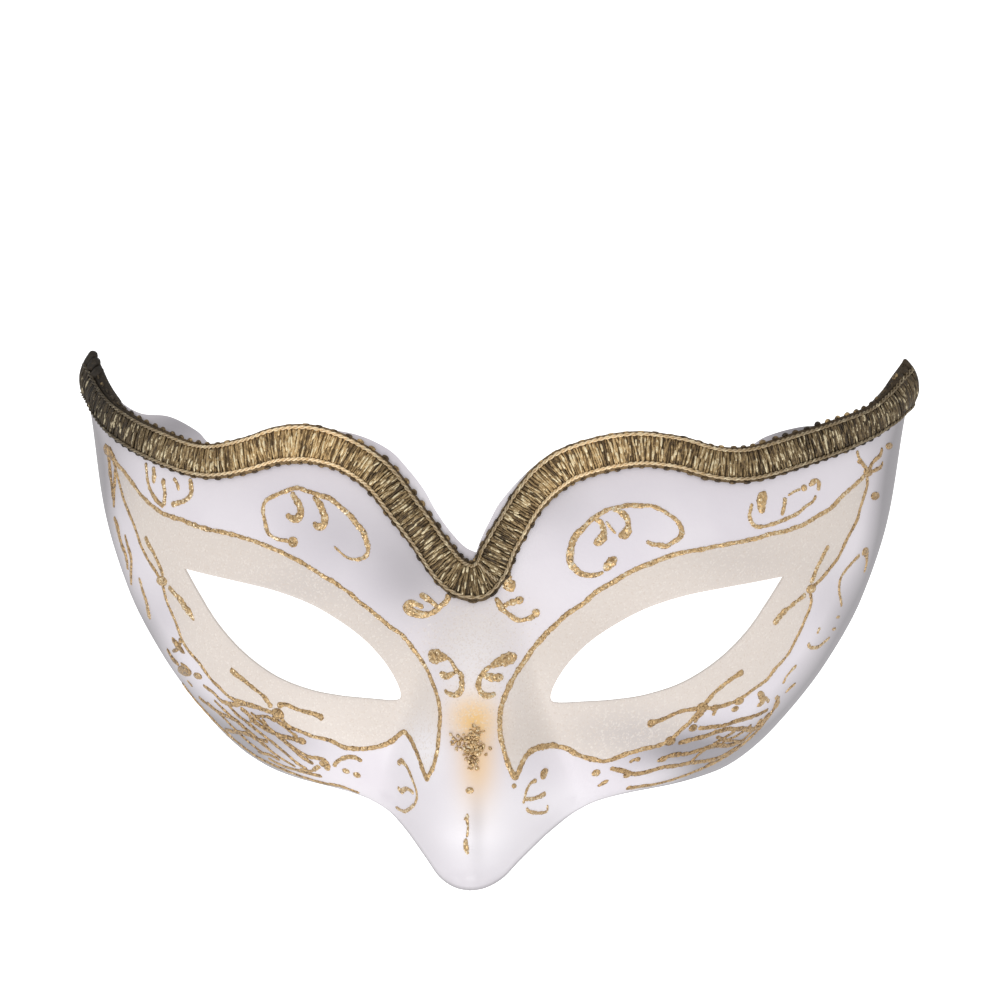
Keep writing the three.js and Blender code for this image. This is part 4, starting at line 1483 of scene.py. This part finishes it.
class MASK_OT_glitter(bpy.types.Operator):
    """Draw the gold glitter scrolls on the shell"""

    bl_idname = "mask.glitter"
    bl_label = "Glitter scrolls"

    def execute(self, context):
        settings = context.scene.half_mask.glitter
        shell = bpy.data.objects["shell"]
        self.tree = BVHTree.FromObject(shell, context.evaluated_depsgraph_get())
        bm = bmesh.new()
        self.add_heap(bm, settings)
        layer = bm.verts.layers.float.new("tone")
        beads = Threads(sides=10)
        for number, (widths, pixels) in enumerate(STROKES):
            self.add_stroke(beads, settings, number, widths, pixels)
        self.roughen(beads.make(bm, layer), settings)
        finish_mesh(bm, "glitter_scrolls", [glitter_finish(settings)])
        return {"FINISHED"}

    def on_shell(self, pixel):
        """The place on the shell that is seen at a pixel, and its normal."""
        place, normal, _, _ = self.tree.ray_cast(PHOTO_CAMERA.place, PHOTO_CAMERA.ray(*pixel))
        return place, normal

    def add_stroke(self, beads, settings, number, widths, pixels):
        """A low bead of glitter along one stroke, lumpy as glue and glitter are."""
        blob = len(pixels) == 1
        if blob:
            x, y = pixels[0]
            reach = widths[0] / 2
            pixels = [(x - reach, y), (x, y), (x + reach, y)]
        drawn = smooth_line(pixels)
        line = evenly(drawn, max(6, int(run_of(drawn)[-1] / DRAWN_STEP)))
        # How much painted shade darkens this line's glitter.
        glitter_shade = min(1, spot_sum(drawn, SHADED_GLITTER).mean())
        hits = [self.on_shell(pixel) for pixel in line]
        hits = [(place, normal) for place, normal in hits if place is not None]
        if len(hits) < 3:
            raise RuntimeError(f"stroke {number} misses the shell")
        points = np.array([place for place, _ in hits]) / MM
        normals = np.array([normal for _, normal in hits])
        run = run_of(points)
        whole = run[-1]
        lengths = np.linspace(0, whole, max(8, int(whole * MM / settings.step)) + 1)
        centre = at_lengths(points, run, lengths)
        up = unit(at_lengths(normals, run, lengths))
        side = unit(np.cross(up, np.gradient(centre, axis=0)))
        share = lengths / whole
        if blob:
            half = widths[0] / 2 * CAMERA_MM_PER_PIXEL * np.sqrt(1 - (2 * share - 1) ** 2)
        else:
            spread = np.interp(share * (len(widths) - 1), range(len(widths)), widths)
            swelling = self.wander(lengths, 0.8, number * 3.1, 0.5)
            lumps = self.wander(lengths, 2.4, number * 5.7, 9.5)
            half = spread / 2 * CAMERA_MM_PER_PIXEL * (1 + LUMPS * swelling + LUMPS * lumps)
            ends = np.clip(np.minimum(lengths, whole - lengths) / half, 0, 1)
            half = half * np.sqrt(1 - (1 - ends) ** 2)
            sway = self.wander(lengths, 0.35, number * 7.3, 2.0)
            centre = centre + side * (2 * settings.waver / MM * sway)[:, None]
        half[[0, -1]] = 0
        height = settings.height / MM * np.minimum(HIGHEST_LINE, (half / FULL_HALF_WIDTH) ** 0.5)
        beads.add(centre, side, up, half, height, glitter_shade)

    def wander(self, lengths, pace, row, layer):
        """Numbers about 0 that change smoothly along a line, faster at a higher pace."""
        return np.array([noise.noise(Vector((at * pace, row, layer))) for at in lengths])

    def roughen(self, verts, settings):
        """Moves the surface by the size of the grains that show through the glue."""
        noise.seed_set(GRAIN_SEED)
        for vert in verts:
            vert.co += noise.noise_vector(vert.co / settings.grain) * settings.grain * ROUGHENED

    def add_heap(self, bm, settings):
        """Loose grains of glitter heaped on the bridge of the nose."""
        chance = np.random.default_rng(HEAP_SEED)
        grain = settings.grain
        for _ in range(HEAP_GRAINS):
            start, end = HEAP_ARMS[chance.integers(len(HEAP_ARMS))]
            share = chance.random()
            middle = np.array(start) * (1 - share) + np.array(end) * share
            place, normal = self.on_shell(middle + chance.normal(0, HEAP_SPREAD, 2))
            tilt = Vector((0, 0, 1)).rotation_difference(Vector(chance.normal(0, 1, 3)))
            turn = normal.to_track_quat("Z", "X") @ tilt
            size = grain * chance.uniform(0.7, 1.5)
            where = Matrix.Translation(place + normal * size * 0.3) @ turn.to_matrix().to_4x4()
            shaped = where @ Matrix.Diagonal((size, size, size * 0.6, 1))
            bmesh.ops.create_icosphere(bm, subdivisions=1, radius=1, matrix=shaped)


class MASK_OT_ground(bpy.types.Operator):
    """Weave the dark ground of the braid, folded over the shell's edge at the wing tips"""

    bl_idname = "mask.ground"
    bl_label = "Braid ground"

    def execute(self, context):
        settings = context.scene.half_mask.braid
        bm = bmesh.new()
        layer = bm.verts.layers.float.new("tone")
        grid(bm, *GROUND_FACES, self.flat)
        fold = settings.fold_length / MM
        for end in (0, BRAID.length):
            grid(bm, *FOLD_FACES, lambda share: self.folded(share, end, fold))
        bmesh.ops.recalc_face_normals(bm, faces=bm.faces[:])
        self.face_up(bm)
        bmesh.ops.solidify(bm, geom=bm.faces[:], thickness=settings.ground_thickness)
        hems = BraidThreads(sides=12)
        for length in (HEM_INSET, BRAID.length - HEM_INSET):
            self.add_hem(hems, length, HEM_SHARES, settings.hem_radius / MM)
        for length, top in NUBS:
            self.add_hem(hems, length % BRAID.length, (top, NUB_FOOT), settings.nub_radius / MM)
        hems.make(bm, layer)
        piece = finish_mesh(bm, "braid_ground", [ground_finish(settings)])
        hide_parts("braid_trim")
        return {"FINISHED"}

    def flat(self, share):
        """The strip that lies on the face of the shell."""
        along, across = share.T
        height = GROUND_HEIGHT + GROUND_CROWN * crown(across)
        return BRAID.at(along * BRAID.length, between(GROUND_SHARES, across), height)[0]

    def folded(self, share, end, fold):
        """The part that turns over the shell's edge, ebbing away from the tip."""
        away = fold * share[:, 0]
        ebb = np.clip((fold - away) / (FOLD_EBB * fold), 0, 1)
        ebb = ebb * ebb * (3 - 2 * ebb)
        across = between((EBBED_ACROSS, np.interp(share[:, 1], FOLD_STEPS, FOLD_ACROSS)), ebb)
        height = between((EBBED_HEIGHT, np.interp(share[:, 1], FOLD_STEPS, FOLD_HEIGHT)), ebb)
        return BRAID.at(np.abs(end - away), across, height, follow=False)[0]

    def face_up(self, bm):
        """Turns each strip so that its face looks away from the shell."""
        loose = set(bm.faces)
        while loose:
            strip = set()
            waiting = [loose.pop()]
            while waiting:
                face = waiting.pop()
                strip.add(face)
                near = {other for side in face.edges for other in side.link_faces} & loose
                loose -= near
                waiting.extend(near)
            if max(strip, key=lambda face: face.calc_center_median().z).normal.z < 0:
                bmesh.ops.reverse_faces(bm, faces=list(strip))

    def add_hem(self, hems, length, ends, radius):
        """A roll across the braid at one wing tip, blunt at both ends."""
        along = (1 - np.cos(np.linspace(0, math.pi, 19))) / 2
        swell = np.clip(1 - (2 * along - 1) ** 4, 0, 1) ** 0.4
        lengths = np.full(len(along), float(length))
        shares = between(ends, along)
        hems.lay(lengths, shares, HEM_HEIGHT, radius * swell, 0.0, follow=False)


class MASK_OT_strands(bpy.types.Operator):
    """Lay the crossing metallic strands of the braid"""

    bl_idname = "mask.strands"
    bl_label = "Braid strands"

    def execute(self, context):
        settings = context.scene.half_mask.braid
        chance = np.random.default_rng(STRAND_SEED)
        threads = BraidThreads(sides=5)
        self.add_weft(threads, chance, settings.strand_gap / MM, settings.strand_radius / MM)
        self.add_flecks(threads, chance, settings.fleck_gap / MM, settings.fleck_radius / MM)
        threads.finish("braid_strands", strand_finish(settings))
        return {"FINISHED"}

    def add_weft(self, threads, chance, gap, radius):
        """Strands that cross the whole width."""
        share = np.linspace(0, 1, 8)
        for i in range(1, int(BRAID.length / gap)):
            shift = chance.normal(0, 0.1)
            slant = chance.normal(0, 0.4) * (share - 0.5)
            waver = chance.normal(0, 0.06, len(share))
            height = WEFT_HEIGHT + chance.uniform(0, 0.25) + WEFT_CROWN * crown(share)
            width = radius * chance.uniform(0.85, 1.2)
            tone = chance.uniform(0.1, 0.7)
            lengths = i * gap + shift + slant + waver
            threads.lay(lengths, between(WEFT_SHARES, share), height, width, tone)

    def add_flecks(self, threads, chance, gap, radius):
        """Short stretches of bright thread that come to the surface."""
        share = np.linspace(0, 1, 6)
        lowest, highest = FLECK_SHARES
        for i in range(int(BRAID.length / gap)):
            if chance.random() > 0.75 - 0.6 * BRAID.near_tip(i * gap):
                continue
            span = chance.uniform(0.18, 0.5)
            low = chance.uniform(lowest, highest - span)
            shift = chance.normal(0, 0.3)
            slant = chance.normal(0, 0.25) * share
            height = FLECK_HEIGHT + chance.uniform(0, 0.2) + FLECK_CROWN * crown(share)
            width = radius * chance.uniform(0.6, 1.2)
            tone = chance.uniform(0.6, 1.0)
            threads.lay(i * gap + shift + slant, low + span * share, height, width, tone)


class MASK_OT_cords(bpy.types.Operator):
    """Twist the two cords along the edges of the braid, and the one in its fold"""

    bl_idname = "mask.cords"
    bl_label = "Braid cords"

    def execute(self, context):
        settings = context.scene.half_mask.braid
        threads = BraidThreads(sides=6)
        radius = settings.cord_radius / MM
        pitch = settings.cord_pitch / MM
        ends = (CORD_INSET, BRAID.length - CORD_INSET)
        lengths = np.linspace(*ends, int(BRAID.length / pitch * CORD_POINTS))
        fold = np.interp(face_from_front(BRAID_FOLD)[0, 0], BRAID.place[:, 0], BRAID.run)
        across = np.linspace(*FOLD_CORD_SHARES, 16)
        for middle in (UPPER_CORD_SHARE, LOWER_CORD_SHARE):
            for phase in (0, math.pi):
                turn = 2 * math.pi * lengths / pitch + phase
                shares = middle + PLY_OFFSET * radius / BRAID_WIDTH * np.cos(turn)
                height = CORD_HEIGHT + PLY_OFFSET * radius * np.sin(turn)
                threads.lay(lengths, shares, height, radius, CORD_TONE)
        for phase in (0, math.pi):
            turn = FOLD_CORD_TURNS * 2 * math.pi * across + phase
            height = FOLD_CORD_HEIGHT + radius * np.sin(turn)
            along = fold + FOLD_CORD_AT + FOLD_CORD_SLANT * across + radius * np.cos(turn)
            threads.lay(along, across, height, radius, CORD_TONE)
        threads.finish("braid_cords", cord_finish(settings))
        return {"FINISHED"}


class MASK_OT_picots(bpy.types.Operator):
    """Work the small loops along both edges of the braid"""

    bl_idname = "mask.picots"
    bl_label = "Braid picots"

    def execute(self, context):
        settings = context.scene.half_mask.braid
        chance = np.random.default_rng(PICOT_SEED)
        threads = BraidThreads(sides=5)
        gap = settings.picot_gap / MM
        radius = settings.picot_radius / MM
        turn = np.linspace(0, math.pi, 7)
        for root, out, worn in PICOT_ROWS:
            for i in range(1, int(BRAID.length / gap)):
                shift = chance.normal(0, 0.15)
                reach = chance.uniform(0.75, 1.25) * self.raised(i * gap, worn)
                width = radius * chance.uniform(0.8, 1.2)
                tone = 0.2 + 0.2 * chance.random() + worn * chance.random()
                lengths = i * gap + shift - PICOT_HALF_WIDTH * gap * np.cos(turn)
                shares = root + out * np.sin(turn) * reach
                threads.lay(lengths, shares, PICOT_HEIGHT, width, tone)
        threads.finish("braid_picots", picot_finish(settings))
        return {"FINISHED"}

    def raised(self, length, worn):
        """How far a loop stands out: less where worn loops lie flat."""
        if not worn:
            return 1
        flat = max(math.exp(-(((length - at) / within) ** 4)) for at, within in FLAT_PICOTS)
        return 1 - FLATTENED * flat


class MASK_OT_stage(bpy.types.Operator):
    """Set the floor, the lights and the camera"""

    bl_idname = "mask.stage"
    bl_label = "Stage"

    def execute(self, context):
        settings = context.scene.half_mask.stage
        self.add_floor(settings)
        self.add_lights(context, settings)
        self.add_camera(context)
        return {"FINISHED"}

    def add_floor(self, settings):
        """A plain pale light table, which lights neither the mask's sides nor its gloss."""
        bm = bmesh.new()
        bmesh.ops.create_grid(bm, x_segments=1, y_segments=1, size=settings.floor_size / 2)
        mesh = bpy.data.meshes.new("floor")
        bm.to_mesh(mesh)
        bm.free()
        material = Finish("floor").surface(
            Base_Color=(*settings.floor, 1),
            Roughness=0.9,
            Emission_Color=WHITE,
            Emission_Strength=settings.floor_glow,
        )
        mesh.materials.append(material)
        floor = bpy.data.objects.new("floor", mesh)
        floor.visible_diffuse = False
        floor.visible_glossy = False
        bpy.context.scene.collection.objects.link(floor)

    def add_lights(self, context, settings):
        world = bpy.data.worlds.new("pale_room")
        world.use_nodes = True
        background = world.node_tree.nodes["Background"]
        background.inputs["Color"].default_value = WHITE
        background.inputs["Strength"].default_value = settings.sky
        context.scene.world = world
        context.scene.view_settings.view_transform = "Standard"
        for name, place in LIGHTS.items():
            data = bpy.data.lights.new(f"{name}_light", "AREA")
            data.size = settings.light_size
            data.energy = getattr(settings, name)
            light = bpy.data.objects.new(f"{name}_light", data)
            light.location = place
            light.rotation_euler = (-Vector(place)).to_track_quat("-Z", "Y").to_euler()
            context.scene.collection.objects.link(light)

    def add_camera(self, context):
        data = bpy.data.cameras.new("camera")
        data.sensor_width = SENSOR_WIDTH
        data.lens = SENSOR_WIDTH * PHOTO_CAMERA.focal_pixels / PHOTO_SIZE
        data.clip_end = CAMERA_SIGHT
        camera = bpy.data.objects.new("camera", data)
        axes = Matrix((PHOTO_CAMERA.right, PHOTO_CAMERA.up, PHOTO_CAMERA.back)).transposed()
        camera.matrix_world = Matrix.Translation(PHOTO_CAMERA.place) @ axes.to_4x4()
        context.scene.collection.objects.link(camera)
        context.scene.camera = camera


class MASK_PT_panel(bpy.types.Panel):
    """Lists the mask's pieces"""

    bl_idname = "MASK_PT_panel"
    bl_label = "Half Mask"
    bl_space_type = "VIEW_3D"
    bl_region_type = "UI"
    bl_category = "Half Mask"

    def draw(self, context):
        for operator in OPERATORS:
            self.layout.operator(operator.bl_idname)


OPERATORS = (
    MASK_OT_shell,
    MASK_OT_glitter,
    MASK_OT_ground,
    MASK_OT_strands,
    MASK_OT_cords,
    MASK_OT_picots,
    MASK_OT_stage,
)
CLASSES = (
    ShellSettings,
    GlitterSettings,
    BraidSettings,
    StageSettings,
    MaskSettings,
    *OPERATORS,
    MASK_PT_panel,
)


def register():
    for cls in CLASSES:
        bpy.utils.register_class(cls)
    bpy.types.Scene.half_mask = PointerProperty(type=MaskSettings)


def unregister():
    del bpy.types.Scene.half_mask
    for cls in reversed(CLASSES):
        bpy.utils.unregister_class(cls)


def main():
    register()
    bpy.ops.mask.shell()
    bpy.ops.mask.glitter()
    bpy.ops.mask.ground()
    bpy.ops.mask.strands()
    bpy.ops.mask.cords()
    bpy.ops.mask.picots()
    bpy.ops.mask.stage()


if __name__ == "__main__":
    main()
